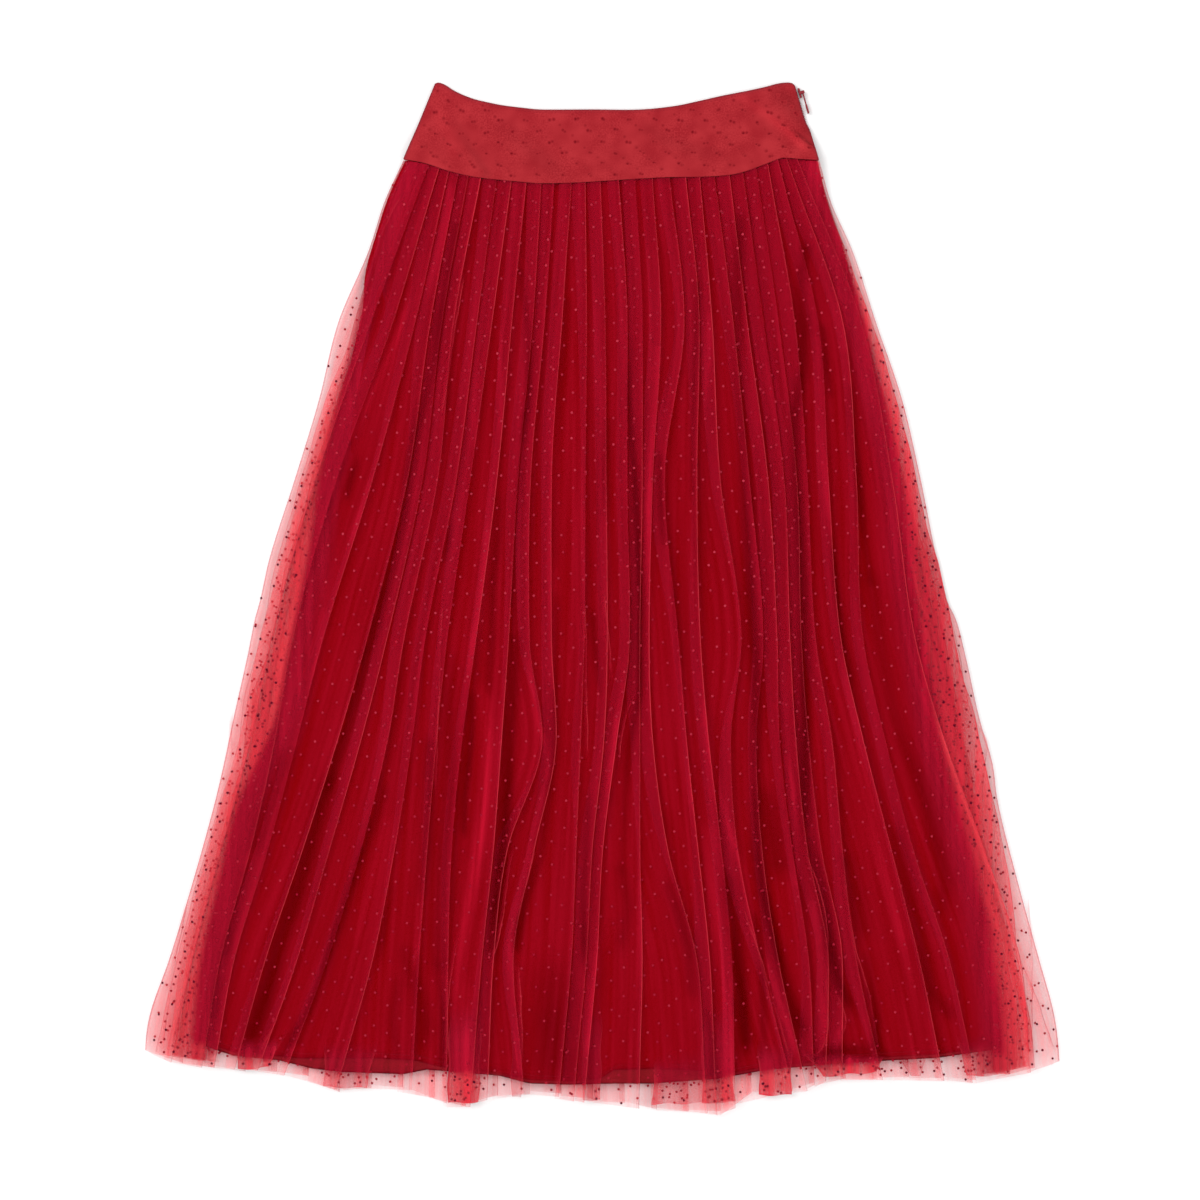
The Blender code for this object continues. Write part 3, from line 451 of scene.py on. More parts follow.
ZIP_ROOM = 1.9  # width that the zip takes beside the yoke and the lining
ZIP_BESIDE = 0.9  # share of the yoke's width from where it makes room for the zip
ZIP_FREE = (78, 108)  # drops between which the front net comes down onto the zip at the very side
PULL_END = 29.0  # drop of the end of the zip's pull, beside which the yokes leave room for it
PULL_ROOM = 12  # length over which that room closes
COVERS_PULL = 3  # how far below the pull the front yoke starts to cover the zip
ZIP_START, ZIP_DROP = 14.0, 205.0
ZIP_PITCH = 1.4
ZIP_LINK = (1.9, 1.0, 1.1)
ZIP_LINK_SLANT = 0.25
ZIP_OUT = 0.8  # how far outside of the lining the zip lies
ZIP_CROSSES = 10  # length over which it crosses from the yoke's side to the lining's
ZIP_LOW_Z, ZIP_HIGH_Z = 1.6, 4.6
TAPE_ACROSS = np.array([-11.0, -7.0, -3.0, -0.4, 0.3])
TAPE_Z = np.array([-0.1, 0.0, 0.0, 0.1, 0.15])

STITCH_PITCH = 2.6
STITCH = (1.9, 0.3, 0.22)
STITCH_AHEAD = 0.8
STITCH_LIFT = 0.3  # height of the lining's stitches over its base
HEM_STITCH = 4.0
RIM_STITCH = 0.4

NET_ROWS = 104
PLY_ROWS, PLY_COLUMNS = 100, 16
HEM_PLY_ROWS, HEM_PLY_COLUMNS = 18, 15
LINING_ROWS, LINING_COLUMNS = 90, 200
YOKE_ROWS, YOKE_COLUMNS = 28, 130
TAPE_ROWS = 90

FLOOR_GAP = 0.4

# The middle of the picture, as distance across and drop, and the width that it shows
VIEW_CENTRE = (-2.6, 446.3)
VIEW_WIDTH = 1032.0

# Where the tables' centre line and zero drop lie in the frame
SEAM_LEFT, SEAM_RIGHT = YOKE_SEAM[0][0], YOKE_SEAM[-1][0]
ACROSS_0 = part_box("back_yoke")[1].x - (SEAM_RIGHT - ZIP_ROOM) * MM
DROP_0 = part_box("back_yoke")[1].y


# ---- curves ------------------------------------------------------------------------------------


def smooth(knots, values, at):
    """A smooth curve through the values, without overshoot, that goes straight on past its ends."""
    knots, values = np.asarray(knots, float), np.asarray(values, float)
    steps = np.diff(knots)
    slopes = np.diff(values) / steps
    inner = np.where(slopes[:-1] * slopes[1:] > 0, 1.0, 0.35) * (slopes[:-1] + slopes[1:]) / 2
    tangents = np.concatenate([slopes[:1], inner, slopes[-1:]])
    at = np.asarray(at, float)
    i = np.clip(np.searchsorted(knots, at) - 1, 0, len(steps) - 1)
    t = (at - knots[i]) / steps[i]
    inside = np.clip(t, 0, 1)
    m, n = tangents[i] * steps[i], tangents[i + 1] * steps[i]
    curve = (
        values[i] * (1 + 2 * inside) * (1 - inside) ** 2
        + m * inside * (1 - inside) ** 2
        + values[i + 1] * inside**2 * (3 - 2 * inside)
        + n * inside**2 * (inside - 1)
    )
    return curve + np.where(t < 0, m * t, 0) + np.where(t > 1, n * (t - 1), 0)


def between(first, last, share):
    return first + share * (last - first)


def ease(t):
    """Softly from 0 to 1."""
    t = np.clip(t, 0, 1)
    return t * t * (3 - 2 * t)


def rising(at, start, end):
    """0 up to the start, and softly up to 1 at the end."""
    return ease((at - start) / (end - start))


def bump(distance, width):
    """A soft bell, 1 at no distance."""
    return np.exp(-((distance / width) ** 2))


def waves(at, parts, phases):
    """A sum of waves. Each part is a wave's height and its turns in radians."""
    return sum(height * np.sin(turn * at + phase) for (height, turn), phase in zip(parts, phases))


def edge(points, across):
    """The drop of an edge given as (distance across, drop) points."""
    xs, drops = zip(*points)
    return np.interp(across, xs, drops)


def seam(across):
    """The drop of the seam between the yoke and the pleats."""
    return smooth(*zip(*YOKE_SEAM), across)


def side(column, drop):
    return smooth([s.drop for s in SECTIONS], [getattr(s, column) for s in SECTIONS], drop)


def hem_ends(left_column, right_column, hem):
    """Where a panel's side edges meet its hem."""
    left, right = hem[0][0], hem[-1][0]
    return float(side(left_column, edge(hem, left))), float(side(right_column, edge(hem, right)))


def drop_at(share, row, hem, ends):
    """The drop of a point that lies this share of the way across, and row of the way down a panel."""
    top = seam(between(SEAM_LEFT, SEAM_RIGHT, share)) + SEAM_GAP / 2
    return between(top, edge(hem, between(*ends, share)), row)


def from_seam(x, drop, share, row):
    """Drops moved near the top, so that the cloth starts right at the seam above it."""
    away = seam(np.clip(x, SEAM_LEFT, SEAM_RIGHT)) - seam(between(SEAM_LEFT, SEAM_RIGHT, share))
    return drop + (1 - row) ** SEAM_HOLD * away


def lining_edges(drop):
    """The left and right edges of both linings at these drops."""
    dense_left = side("net_left", drop) + DENSE_INSET
    left = between(dense_left, side("lining_left", drop), rising(drop, *DENSE_TO))
    dense_right = side("net_right", drop) - DENSE_INSET
    return left, np.minimum(side("lining_right", drop), dense_right) - ZIP_ROOM


def side_height(x, drop, z, at_side):
    """A height that comes down to the side edges, where the front and back nets meet."""
    aside = np.minimum(x - side("net_left", drop), side("net_right", drop) - x)
    fallen = ease(aside / MARGIN_FALL)
    fallen = np.where(x > 0, np.maximum(fallen, 1 - rising(drop, *ZIP_FREE)), fallen)
    return between(at_side, z, fallen)


def off_lining(x, drop):
    """0 on the lining, rising to 1 where the net lies well clear of it."""
    left, right = lining_edges(drop)
    aside = np.maximum(left - x, x - right) / CLEAR_ASIDE
    return ease(np.maximum(aside, (drop - edge(BACK_LINING_HEM, x)) / CLEAR_BELOW))


def marked(marks, x, drop):
    """How strong the soft marks are at these points."""
    x, drop = np.broadcast_arrays(x, drop)
    total = np.zeros(x.shape)
    for width, points in marks:
        strongest = np.zeros_like(total)
        reach = MARK_REACH * width
        for (ax, ad, start), (bx, bd, end) in zip(points, points[1:]):
            near = (x > min(ax, bx) - reach) & (x < max(ax, bx) + reach)
            near &= (drop > min(ad, bd) - reach) & (drop < max(ad, bd) + reach)
            at_x, at_drop = x[near], drop[near]
            run, fall = bx - ax, bd - ad
            t = np.clip(((at_x - ax) * run + (at_drop - ad) * fall) / (run**2 + fall**2), 0, 1)
            away = np.hypot(at_x - ax - t * run, at_drop - ad - t * fall)
            here = between(start, end, t) * bump(away, width)
            strongest[near] = np.maximum(strongest[near], here)
        total += strongest
    return total


def run_along(points):
    """The distance along a line of points, at each of them."""
    return np.concatenate([[0], np.cumsum(np.linalg.norm(np.diff(points, axis=0), axis=1))])


# ---- meshes ------------------------------------------------------------------------------------


def placed(x, drop, z):
    """Points in the frame, in metres, from distances across, drops and heights in millimetres."""
    x, drop, z = np.broadcast_arrays(x, drop, z)
    return np.stack([x * MM + ACROSS_0, DROP_0 - drop * MM, z * MM], axis=-1)


def shown(name, bm):
    """A new object in the scene from a bmesh, which is freed."""
    mesh = bpy.data.meshes.new(name)
    bm.to_mesh(mesh)
    bm.free()
    obj = bpy.data.objects.new(name, mesh)
    bpy.context.scene.collection.objects.link(obj)
    return obj


def dressed(obj, points, values, shape, look):
    """Gives an object its points, its values by point, its material and soft shading."""
    mesh = obj.data
    mesh.vertices.foreach_set("co", points.reshape(-1).astype(np.float32))
    for label, value in values.items():
        attribute = mesh.attributes.new(label, "FLOAT", "POINT")
        spread = np.broadcast_to(value, shape)
        attribute.data.foreach_set("value", spread.reshape(-1).astype(np.float32))
    mesh.materials.append(look)
    mesh.shade_smooth()
    mesh.update()
    return obj


def sheet_of(name, x, drop, z, values, look, upwards=True, u=None):
    """A cloth surface from a grid of points, with its cloth coordinates and named values."""
    x, drop, z = np.broadcast_arrays(x, drop, z)
    rows, columns = x.shape
    bm = bmesh.new()
    bmesh.ops.create_grid(bm, x_segments=columns - 1, y_segments=rows - 1, size=1)
    if upwards:
        bmesh.ops.reverse_faces(bm, faces=bm.faces)
    obj = shown(name, bm)
    corners = np.zeros(len(obj.data.loops), np.int32)
    obj.data.loops.foreach_get("vertex_index", corners)
    uv = np.stack([x if u is None else u, drop], axis=-1).reshape(-1, 2) * MM
    layer = obj.data.uv_layers.new(name="cloth")
    layer.data.foreach_set("uv", uv[corners].reshape(-1).astype(np.float32))
    return dressed(obj, placed(x, drop, z), values, x.shape, look)


def copies(name, bm, places, axes, look, values):
    """One mesh of many copies of a small shape, each with its own place.

    The axes are where the shape's own three point to, for all copies or for each of them. A value is
    a column with one for each copy, or a row with one for each of the shape's points.
    """
    obj = shown(name, bm)
    shape = np.zeros(len(obj.data.vertices) * 3, np.float32)
    obj.data.vertices.foreach_get("co", shape)
    shape = shape.reshape(1, -1, 3)
    array = obj.modifiers.new("copies", "ARRAY")
    array.count = len(places)
    array.use_relative_offset = False
    made = bpy.data.meshes.new_from_object(obj.evaluated_get(bpy.context.evaluated_depsgraph_get()))
    obj.modifiers.clear()
    obj.data = made
    moved = places[:, None]
    for i, axis in enumerate(axes):
        moved = moved + np.broadcast_to(axis, places.shape)[:, None] * shape[..., i : i + 1]
    return dressed(obj, moved, values, moved.shape[:2], look)


def bead(size, around):
    """A small rounded shape of this length, width and height."""
    bm = bmesh.new()
    bmesh.ops.create_uvsphere(bm, u_segments=around, v_segments=4, radius=0.5)
    bmesh.ops.scale(bm, vec=[length * MM for length in size], verts=bm.verts)
    return bm


def thicken(obj, thickness):
    wall = obj.modifiers.new("thickness", "SOLIDIFY")
    wall.thickness = thickness * MM
    wall.offset = 0


def joined(name, objects):
    """One object from several, with the same names of values."""
    with bpy.context.temp_override(active_object=objects[0], selected_editable_objects=objects):
        bpy.ops.object.join()
    objects[0].name = objects[0].data.name = name
    return objects[0]


# ---- the net -----------------------------------------------------------------------------------

Net = namedtuple("Net", "x drop z u edge dense face pleat")


def fold_grid(places, rows):
    """On each row, the places across and the drops of the left edge, every fold and the right edge."""
    ends = hem_ends("net_left", "net_right", NET_HEM)
    row = rows[:, None]
    drops = between(FOLD_DROPS[0], FOLD_DROPS[-1], row) + np.zeros(len(FOLDS))
    for _ in range(5):
        x = places(drops)
        left, right = side("net_left", drops), side("net_right", drops)
        share = (x - left) / (right - left)
        drops = from_seam(x, drop_at(share, row, NET_HEM, ends), share, row)
    first, last = (drop_at(share + 0 * row, row, NET_HEM, ends) for share in (0, 1))
    return (
        np.hstack([side("net_left", first), x, side("net_right", last)]),
        np.hstack([first, drops, last]),
    )


def front_places(drops):
    return np.stack([smooth(FOLD_DROPS, f[:-1], drops[:, i]) for i, f in enumerate(FOLDS)], axis=1)


def back_places(drops):
    left = side("net_left", drops) + MARGIN_FALL
    right = side("net_right", drops) - MARGIN_FALL
    return between(left, right, (np.arange(len(FOLDS)) + BACK_FIRST) / BACK_WIDTHS)


def fold_shadow(x, drop):
    """How dark the front is just right of each fold, where the next pleat lies deeper."""
    shadow = np.zeros(np.broadcast(x, drop).shape)
    grown = between(SHADOW_AT_SEAM, 1, rising(drop, *SHADOW_GROWS))
    for i, fold in enumerate(FOLDS):
        gap = x - smooth(FOLD_DROPS, fold[:-1], drop)
        strength = (SHADOW_LEAST + SHADOW_LOFT * (fold.loft - 1)) * grown
        strength = strength * (1 + SHADOW_SWAY * np.sin(drop / 71 + 2.3 * i))
        shadow = np.maximum(shadow, np.where(gap > 0, strength * np.exp(-gap / SHADOW_WIDTH), 0))
    return shadow


def pleated(places, lofts, fullness, seed):
    """A pleated net: columns of points along the cloth, on each of its rows.

    The places give every fold's distance across at given drops. Heights are above the net's base.
    """
    rows = np.linspace(0, 1, NET_ROWS)
    x, drops = fold_grid(places, rows)
    faces = np.diff(x[:, :-1], axis=1)
    tucks = np.clip((PLEAT_CLOTH - faces) / 2, LEAST_TUCK, MOST_TUCK * faces)
    opening = ease(rows / OPEN_BY)
    pressed = between(PRESSED, 1, ease(rows / PRESSED_TO))
    chance = np.random.default_rng(seed)
    columns = []

    def add(at, height, along, pleat, near=0, dense=0, face=0):
        columns.append([value + 0 * rows for value in (at, height, along, near, dense, face, pleat)])

    for k in range(len(FOLDS)):
        left, fold, face, tuck = x[:, k], x[:, k + 1], faces[:, k], tucks[:, k]
        phases = chance.uniform(0, 6.3, 4)
        sway = 1 + waves(rows, FOLD_SWAY, phases[:2])
        height = 2 * LAYER * between(1, lofts[k], rows) * pressed * sway
        line = np.clip(LINE_MEAN + waves(rows, LINE_SWAY, phases[2:]), LINE_LEAST, 1)

        def lift(at):
            t = np.clip((at - left) / face, 0, 1)
            crest = 1 - CREST_DIP * opening * rising(t, 0.9, 1)
            return FOLD_BASE + height * t ** (FACE_BEND + fullness * opening) * crest

        def along_cloth(at, way):
            return k * PLEAT_CLOTH - way * (fold - at)

        for share in LOWER_SHARES if k else ():
            at = left - tucks[:, k - 1] * (1 - share)
            add(at, NET_FLOOR if share else HIDDEN_EDGE_Z, along_cloth(at, 1), k)
        for share in FACE_SHARES:
            at = left + share * (face - FACE_ENDS_AT)
            start = ease(share / FACE_SHARES[1]) if k else 1
            near = EDGE_LINE * (k == 0 and share == 0)
            add(at, NET_FLOOR + lift(at) * start, along_cloth(at, 1), k, near, lift(at) / height, 1)
        for distance, near in BEFORE_FOLD:
            at = fold - distance
            add(at, NET_FLOOR + lift(at), along_cloth(at, 1), k, near * line, 1)
        add(fold, lift(fold), along_cloth(fold, 1), k, line, 1)
        for distance, near in AFTER_FOLD:
            at = fold - distance
            add(at, lift(at) - 0.16 - 0.2 * distance, along_cloth(at, -1), k, near * line)
        for share in UPPER_SHARES:
            at = fold - between(AFTER_FOLD[-1][0], tuck, share)
            add(at, 0.3 + lift(at) * (0.75 - 0.4 * share), along_cloth(at, -1), k)
    last, end, k = x[:, -2], x[:, -1], len(FOLDS)
    for share in LOWER_SHARES:
        at = last - tucks[:, -1] * (1 - share)
        add(at, NET_FLOOR, k * PLEAT_CLOTH - (end - at), k)
    for share in FACE_SHARES:
        at = between(last, end, share)
        add(at, NET_FLOOR, k * PLEAT_CLOTH - (end - at), k, EDGE_LINE * (share == 1), face=1)

    at, height, along, near, dense, face, pleat = (np.stack(c, axis=1) for c in zip(*columns))
    drop = np.stack([np.interp(a, b, c) for a, b, c in zip(at, x, drops)])
    return Net(at, drop, height, along, near, dense, face, pleat)


def side_fall(net, base, edge_z, zip_side=False):
    """Heights in the frame: the net comes to its side edges over the last few millimetres."""
    share = 1 - ease((net.x - net.x[:, :1]) / MARGIN_FALL)
    other = 1 - ease((net.x[:, -1:] - net.x) / MARGIN_FALL)
    if zip_side:
        other = other * rising(net.drop, *ZIP_FREE)
    return between(base, edge_z, np.maximum(share, other))


def uneven_hem(net, seed):
    """The net with each pleat's hem a little higher or lower."""
    shift = np.random.default_rng(seed).uniform(-HEM_SWAY, HEM_SWAY, len(FOLDS) + 1)
    row = np.linspace(0, 1, NET_ROWS)[:, None]
    return net._replace(drop=net.drop + rising(row, HEM_SWAY_FROM, 1) * shift[net.pleat.astype(int)])


def net_sheet(name, net, z, painted_shading_and_tone, upwards):
    below = ease((net.drop - edge(BACK_LINING_HEM, net.x)) / CLEAR_BELOW)
    # Its cover is thinner where painted shade lies and thicker where painted light lies
    cover = NET_COVER + FOLD_COVER * net.dense - TROUGH_COVER * painted_shading_and_tone - RIDGE_COVER * np.minimum(painted_shading_and_tone, 0)
    values = {
        "near_fold": net.edge * (1 - LINE_BELOW * below * (net.dense > 0)),
        "cover": cover * (1 - below * np.where(net.face > 0, FACE_BELOW, UNDERLAP_BELOW)),
        "off_lining": off_lining(net.x, net.drop),
        "painted_shading_and_tone": painted_shading_and_tone,
    }
    return sheet_of(name, net.x, net.drop, z, values, net_material(), upwards, u=net.u)


def front_net():
    net = uneven_hem(pleated(front_places, [f.loft for f in FOLDS], FRONT_FULLNESS, seed=3), seed=5)
    troughs, ridges = marked(TROUGHS, net.x, net.drop), marked(RIDGES, net.x, net.drop)
    relief = net.z * (1 - TROUGH_FALL * np.clip(troughs, 0, 1)) + RIDGE_LIFT * ridges
    z = relief + side_fall(net, FRONT_NET_Z, SIDE_Z + EDGES_APART, zip_side=True)
    shadow = FRONT_SHADOW_TONE * fold_shadow(net.x, net.drop) * (net.face > 0)
    # Painted shading of the front net: painted shade in troughs and beside folds, painted light on
    # ridges
    painted_shading_and_tone = troughs - FRONT_RIDGE_TONE * ridges + shadow
    return net, z, net_sheet("front_net", net, z, painted_shading_and_tone, True)


def back_net():
    """Even pleats, whose faces lie flat on the surface and whose underlaps lie above them."""
    net = uneven_hem(pleated(back_places, [1.0] * len(FOLDS), BACK_FULLNESS, seed=11), seed=13)
    z = side_fall(net, BACK_NET_Z + np.maximum(BACK_TOP - net.z, BACK_LEAST), SIDE_Z - EDGES_APART)
    painted_shading_and_tone = BACK_TONE * np.sin(net.x / 19 + net.drop / 160) * ease(net.drop / 700)
    return net, z, net_sheet("back_net", net, z, painted_shading_and_tone, False)


def dots(name, places, look, radius=DOT_RADIUS, faint=None, across=(1, 0, 0), out=(0, 0, 1)):
    """Small round domes at places of (across, drop, height), each with its own faintness."""
    places, out = np.array(places), np.array(out)
    bm = bmesh.new()
    bmesh.ops.create_circle(bm, cap_ends=True, cap_tris=True, segments=8, radius=radius * MM)
    middle = min(bm.verts, key=lambda v: v.co.length)
    middle.co.z = DOT_HEIGHT * MM
    if faint is None:
        chance = np.random.default_rng(len(places))
        faint = chance.uniform(0, DOT_FAINTEST, len(places))
        faint += DOT_FADES_BY * rising(places[:, 1], *DOT_FADES)
    values = {
        "off_lining": off_lining(places[:, 0], places[:, 1])[:, None],
        "faint": np.minimum(faint, 1)[:, None],
        "middle": [float(v is middle) for v in bm.verts],
    }
    centres = placed(*places.T) + out * DOT_LIFT * MM
    return copies(name, bm, centres, (across, np.cross(out, across), out), look, values)


def dots_of(name, net, z, look, outward):
    """The flocked dots of a net, in staggered columns along each pleat, fewer on the underlaps."""
    places, across, outs = [], [], []
    chance = np.random.default_rng(17)
    for k in range(len(FOLDS) + 1):
        columns = np.flatnonzero(net.pleat[0] == k)
        grids = [a[:, columns] for a in (net.u, net.x, net.drop, z, net.face)]
        u, drop = grids[0], grids[2]
        phase = chance.uniform(0, DOT_COLUMNS), chance.uniform(0, DOT_PITCH)
        top, bottom = drop[0].mean(), drop[-1].mean()
        for j in range(int((u.max() - u.min()) / DOT_COLUMNS) + 1):
            start = top + phase[1] + (j % 2) * DOT_PITCH / 2
            for d in np.arange(start, bottom - DOTS_ABOVE_HEM, DOT_PITCH):
                row = (d - top) / (bottom - top) * (NET_ROWS - 1)
                i = min(int(row), NET_ROWS - 2)
                line_u, line_x, line_drop, line_z, line_face = (
                    between(a[i], a[i + 1], row - i) for a in grids
                )
                spot = u.min() + phase[0] + j * DOT_COLUMNS + chance.uniform(-DOT_ASIDE, DOT_ASIDE)
                if not line_u[0] + DOT_INSET < spot < line_u[-1] - DOT_INSET:
                    continue
                if np.interp(spot, line_u, line_face) < 0.5 and chance.uniform() > UNDERLAP_DOTS:
                    continue
                x, height = (
                    np.interp((spot, spot + DOT_AHEAD), line_u, line) for line in (line_x, line_z)
                )
                at_drop = np.interp(spot, line_u, line_drop) + chance.uniform(-DOT_DOWN, DOT_DOWN)
                run = x[1] - x[0]
                steepest = STEEPEST_DOT * abs(run)
                rise = np.clip(height[1] - height[0], -steepest, steepest)
                length = max(np.hypot(run, rise), 1e-6)
                places.append((x[0], at_drop, height[0]))
                across.append((run / length, 0, rise / length))
                outs.append((-rise / length * outward, 0, run / length * outward))
    return dots(name, places, look, across=across, out=outs)


# ---- the plies under the front net -------------------------------------------------------------


def ply_sheet(name, x, drop, z, cover, near, off):
    values = {"near_fold": near, "cover": cover, "off_lining": off, "painted_shading_and_tone": 0}
    return sheet_of(name, x, drop, z, values, net_material())


def side_ply(name, column, order, fold_cover, full_cover, depth, turn, more):
    """A ply from its fold, outside the lining, to its hidden edge over the lining."""
    left_side = column.startswith("left")
    way = 1 if left_side else -1
    row = np.linspace(0, 1, PLY_ROWS)[:, None]
    share = np.linspace(0, 1, PLY_COLUMNS)[None] ** PLY_CROWDING
    drops, folds = [p.drop for p in PLIES], [getattr(p, column) for p in PLIES]
    drop = between(drops[0], drops[-1], row) + 0 * share
    lining_x = lining_edges(drop)[0 if left_side else 1]
    fold = smooth(drops, folds, drop) + 0.5 * np.sin(drop / 9 + order) * np.sin(drop / 31)
    inner = lining_x + way * depth
    x = between(fold, inner, share)
    drop = drop + (seam(x[:1]) - drops[0] + PLY_BELOW_SEAM) * (1 - row)
    drop = drop + row**PLY_TO_HEM * (edge(NET_HEM, x) - PLY_ABOVE_HEM - order - drops[-1])
    z = side_height(x, drop, PLY_Z, SIDE_Z) - PLY_STEP * order
    at_lining = np.clip((lining_x - fold) / (inner - fold), 0.04, 0.9)
    dense = np.clip(share / at_lining, 0, 1) ** PLY_SOON
    thicker = more * bump(drop - PLY_THICK_AT[0], PLY_THICK_AT[1])
    at_fold = fold_cover * between(PLY_TOP_COVER, 1, rising(drop, *PLY_THINS)) + thicker
    cover = between(at_fold, full_cover, dense) * (1 - rising(share, at_lining, 1))
    cover = cover * (0.95 + 0.07 * np.sin(drop / 47 + order) + 0.06 * np.sin(x / 4.3))
    turned = np.clip(turn * dense + thicker, 0, 1)
    off = (1 - turned) * ease((lining_x - x) * way / CLEAR_ASIDE)
    return x, drop, z, ply_sheet(name, x, drop, z, cover, PLY_LINE * (share == 0), off)


def ply_dots(name, x, drop, z, look):
    """Layers of dots on a ply, in columns along its fold, as far as the lining's edge."""
    chance = np.random.default_rng(len(name))
    places = []
    way = np.sign(x[0, -1] - x[0, 0])
    for _ in range(PLY_DOT_LAYERS):
        phase = chance.uniform(1, DOT_COLUMNS), chance.uniform(0, DOT_PITCH)
        for j in range(PLY_DOT_COLUMNS):
            start = drop[0].max() + phase[1] + (j % 2) * DOT_PITCH / 2
            for d in np.arange(start, drop[-1].min(), DOT_PITCH):
                i = int(np.clip(np.searchsorted(drop[:, 0], d), 0, len(drop) - 1))
                at = x[i, 0] + way * (phase[0] + j * DOT_COLUMNS)
                order = np.argsort(x[i])
                inside = x[i].min() + 1 < at < x[i].max() - 1
                if inside and off_lining(at - way * PLY_DOT_REACH, d) > 0:
                    spot = at + chance.uniform(-1.5, 1.5)
                    height = np.interp(spot, x[i][order], z[i][order])
                    places.append((spot, d + chance.uniform(-3, 3), height))
    return dots(name, places, look)


def hem_ply(index, ply):
    """A small ply between its four corners, that fades in from its top."""
    share = np.linspace(0, 1, HEM_PLY_COLUMNS)[None]
    row = np.linspace(0, 1, HEM_PLY_ROWS)[:, None]
    corners = [np.array(corner, float)[:, None, None] for corner in ply[:4]]
    top, bottom = between(*corners[:2], share), between(*corners[:1:-1], share)
    x, drop = between(top, bottom, row)
    x = x + 0.7 * np.sin(drop / 6 + index) * (share - 0.5) * 2
    drop = drop + 0.8 * np.sin(x / 4.5 + index) * row
    cover = ply.cover * ease(row / HEM_PLY_FADE) * (0.85 + 0.2 * np.sin(x / 3.1 + index))
    sides = HEM_PLY_SIDE * ((share == 0) | (share == 1)) * ease(row / 0.5)
    off = off_lining(x, drop)
    z = PLY_Z - HEM_PLY_FALL * off - HEM_PLY_STEP * (index % 3)
    near = np.maximum(sides, HEM_PLY_HEM * (row == 1))
    return ply_sheet(f"hem_ply_{index}", x, drop, z, cover, near, HEM_PLY_TURN * off)


def hem_dots(look):
    """Dots on the hem plies, thicker than on one layer, where they hang below the lining."""
    chance = np.random.default_rng(29)
    places = []
    for ply in HEM_PLIES:
        left, right = ply.top_left[0] + 1, ply.top_right[0] - 1
        top, bottom = ply.top_left[1], min(ply.bottom_left[1], ply.bottom_right[1]) - 2
        for _ in range(int((right - left) * (bottom - top) * ply.cover / HEM_DOT_ROOM)):
            across, d = chance.uniform(left, right), chance.uniform(top, bottom)
            if off_lining(across, d) > 0:
                places.append((across, d, HEM_DOT_Z))
    return dots("hem_ply_dots", places, look)


def crease(index, points, net, z):
    """A narrow doubled fold of the front net along a line, with its bright edge on one side."""
    points = np.array(points, float)
    run = run_along(points)
    at = np.linspace(0, run[-1], int(run[-1] / CREASE_STEP) + 4)
    x, drop = smooth(run, points[:, 0], at), smooth(run, points[:, 1], at)
    x = x + 0.35 * np.sin(at / 11 + index) + 0.2 * np.sin(at / 4.1)
    taper = ease(at / CREASE_TAPER) * ease((run[-1] - at) / CREASE_TAPER)
    top, bottom = net.drop[0].mean(), net.drop[-1].mean()
    heights = []
    for line_x, line_drop in zip(x, drop):
        i = int(np.clip((line_drop - top) / (bottom - top), 0, 1) * (NET_ROWS - 1))
        close = np.abs(net.x[i] - line_x) < CREASE_REACH
        heights.append(z[i][close].max() if close.any() else SIDE_Z)
    height = np.convolve(np.pad(heights, 2, "edge"), np.ones(5) / 5, "valid")[:, None]
    glow = taper * (0.65 + 0.35 * np.sin(at / 17 + 2 * index))
    x, drop = np.broadcast_arrays(x[:, None] + CREASE_ACROSS, drop[:, None])
    cover, near = taper[:, None] * CREASE_COVER, glow[:, None] * CREASE_LINE
    return ply_sheet(f"crease_{index}", x, drop, height + CREASE_Z, cover, near, off_lining(x, drop))


# ---- linings and yokes -------------------------------------------------------------------------


def lining(name, hem, z, look, upwards):
    share = np.linspace(0, 1, LINING_COLUMNS)[None]
    row = np.linspace(0, 1, LINING_ROWS)[:, None]
    drop = drop_at(share, row, hem, hem_ends("lining_left", "lining_right", hem))
    x = between(*lining_edges(drop), share)
    drop = from_seam(x, drop, share, row)
    wave = 0.3 * np.sin(share * 31 + 3 * row) + 0.2 * np.sin(share * 67 - 5 * row)
    painted_shading_and_tone = 0
    if upwards:
        # Painted shading of the front lining: painted shade in troughs and beside folds, painted light
        # on ridges; it also lies a little lower there
        painted_shading_and_tone = marked(TROUGHS, x, drop) - LINING_RIDGE_TONE * marked(RIDGES, x, drop)
        painted_shading_and_tone = painted_shading_and_tone + fold_shadow(x, drop)
    height = z + LINING_WAVE * wave * ease(row / LINING_WAVE_FROM) - LINING_RELIEF * painted_shading_and_tone
    height = side_height(x, drop, height, SIDE_Z - BACK_LINING_UNDER * (not upwards))
    values = {"to_hem": (1 - row) * (drop[-1:] - drop[:1]), "painted_shading_and_tone": painted_shading_and_tone}
    obj = sheet_of(name, x, drop, height, values, look, upwards)
    thicken(obj, LINING_THICKNESS)
    return obj


def yoke_grid(over_zip):
    """A yoke's points, with their shares of the way down and across."""
    share = np.linspace(0, 1, YOKE_COLUMNS)[None]
    down = np.linspace(0, 1, YOKE_ROWS)[:, None]
    top_x = between(YOKE_TOP[0][0], YOKE_TOP[-1][0] - ZIP_ROOM, share)
    seam_x = between(SEAM_LEFT, SEAM_RIGHT, share)
    drop = between(smooth(*zip(*YOKE_TOP), top_x), seam(seam_x) - SEAM_GAP / 2, down)
    at_zip = rising(share, ZIP_BESIDE, 1)
    by_pull = 1 - rising(drop, PULL_END, PULL_END + PULL_ROOM)
    x = between(top_x, seam_x, down) - ZIP_ROOM * down * by_pull * at_zip
    if over_zip:
        below_pull = rising(drop - COVERS_PULL, PULL_END, PULL_END + PULL_ROOM)
        x = x + ZIP_ROOM * (1 - down) * at_zip * below_pull
    return x, drop, down, share


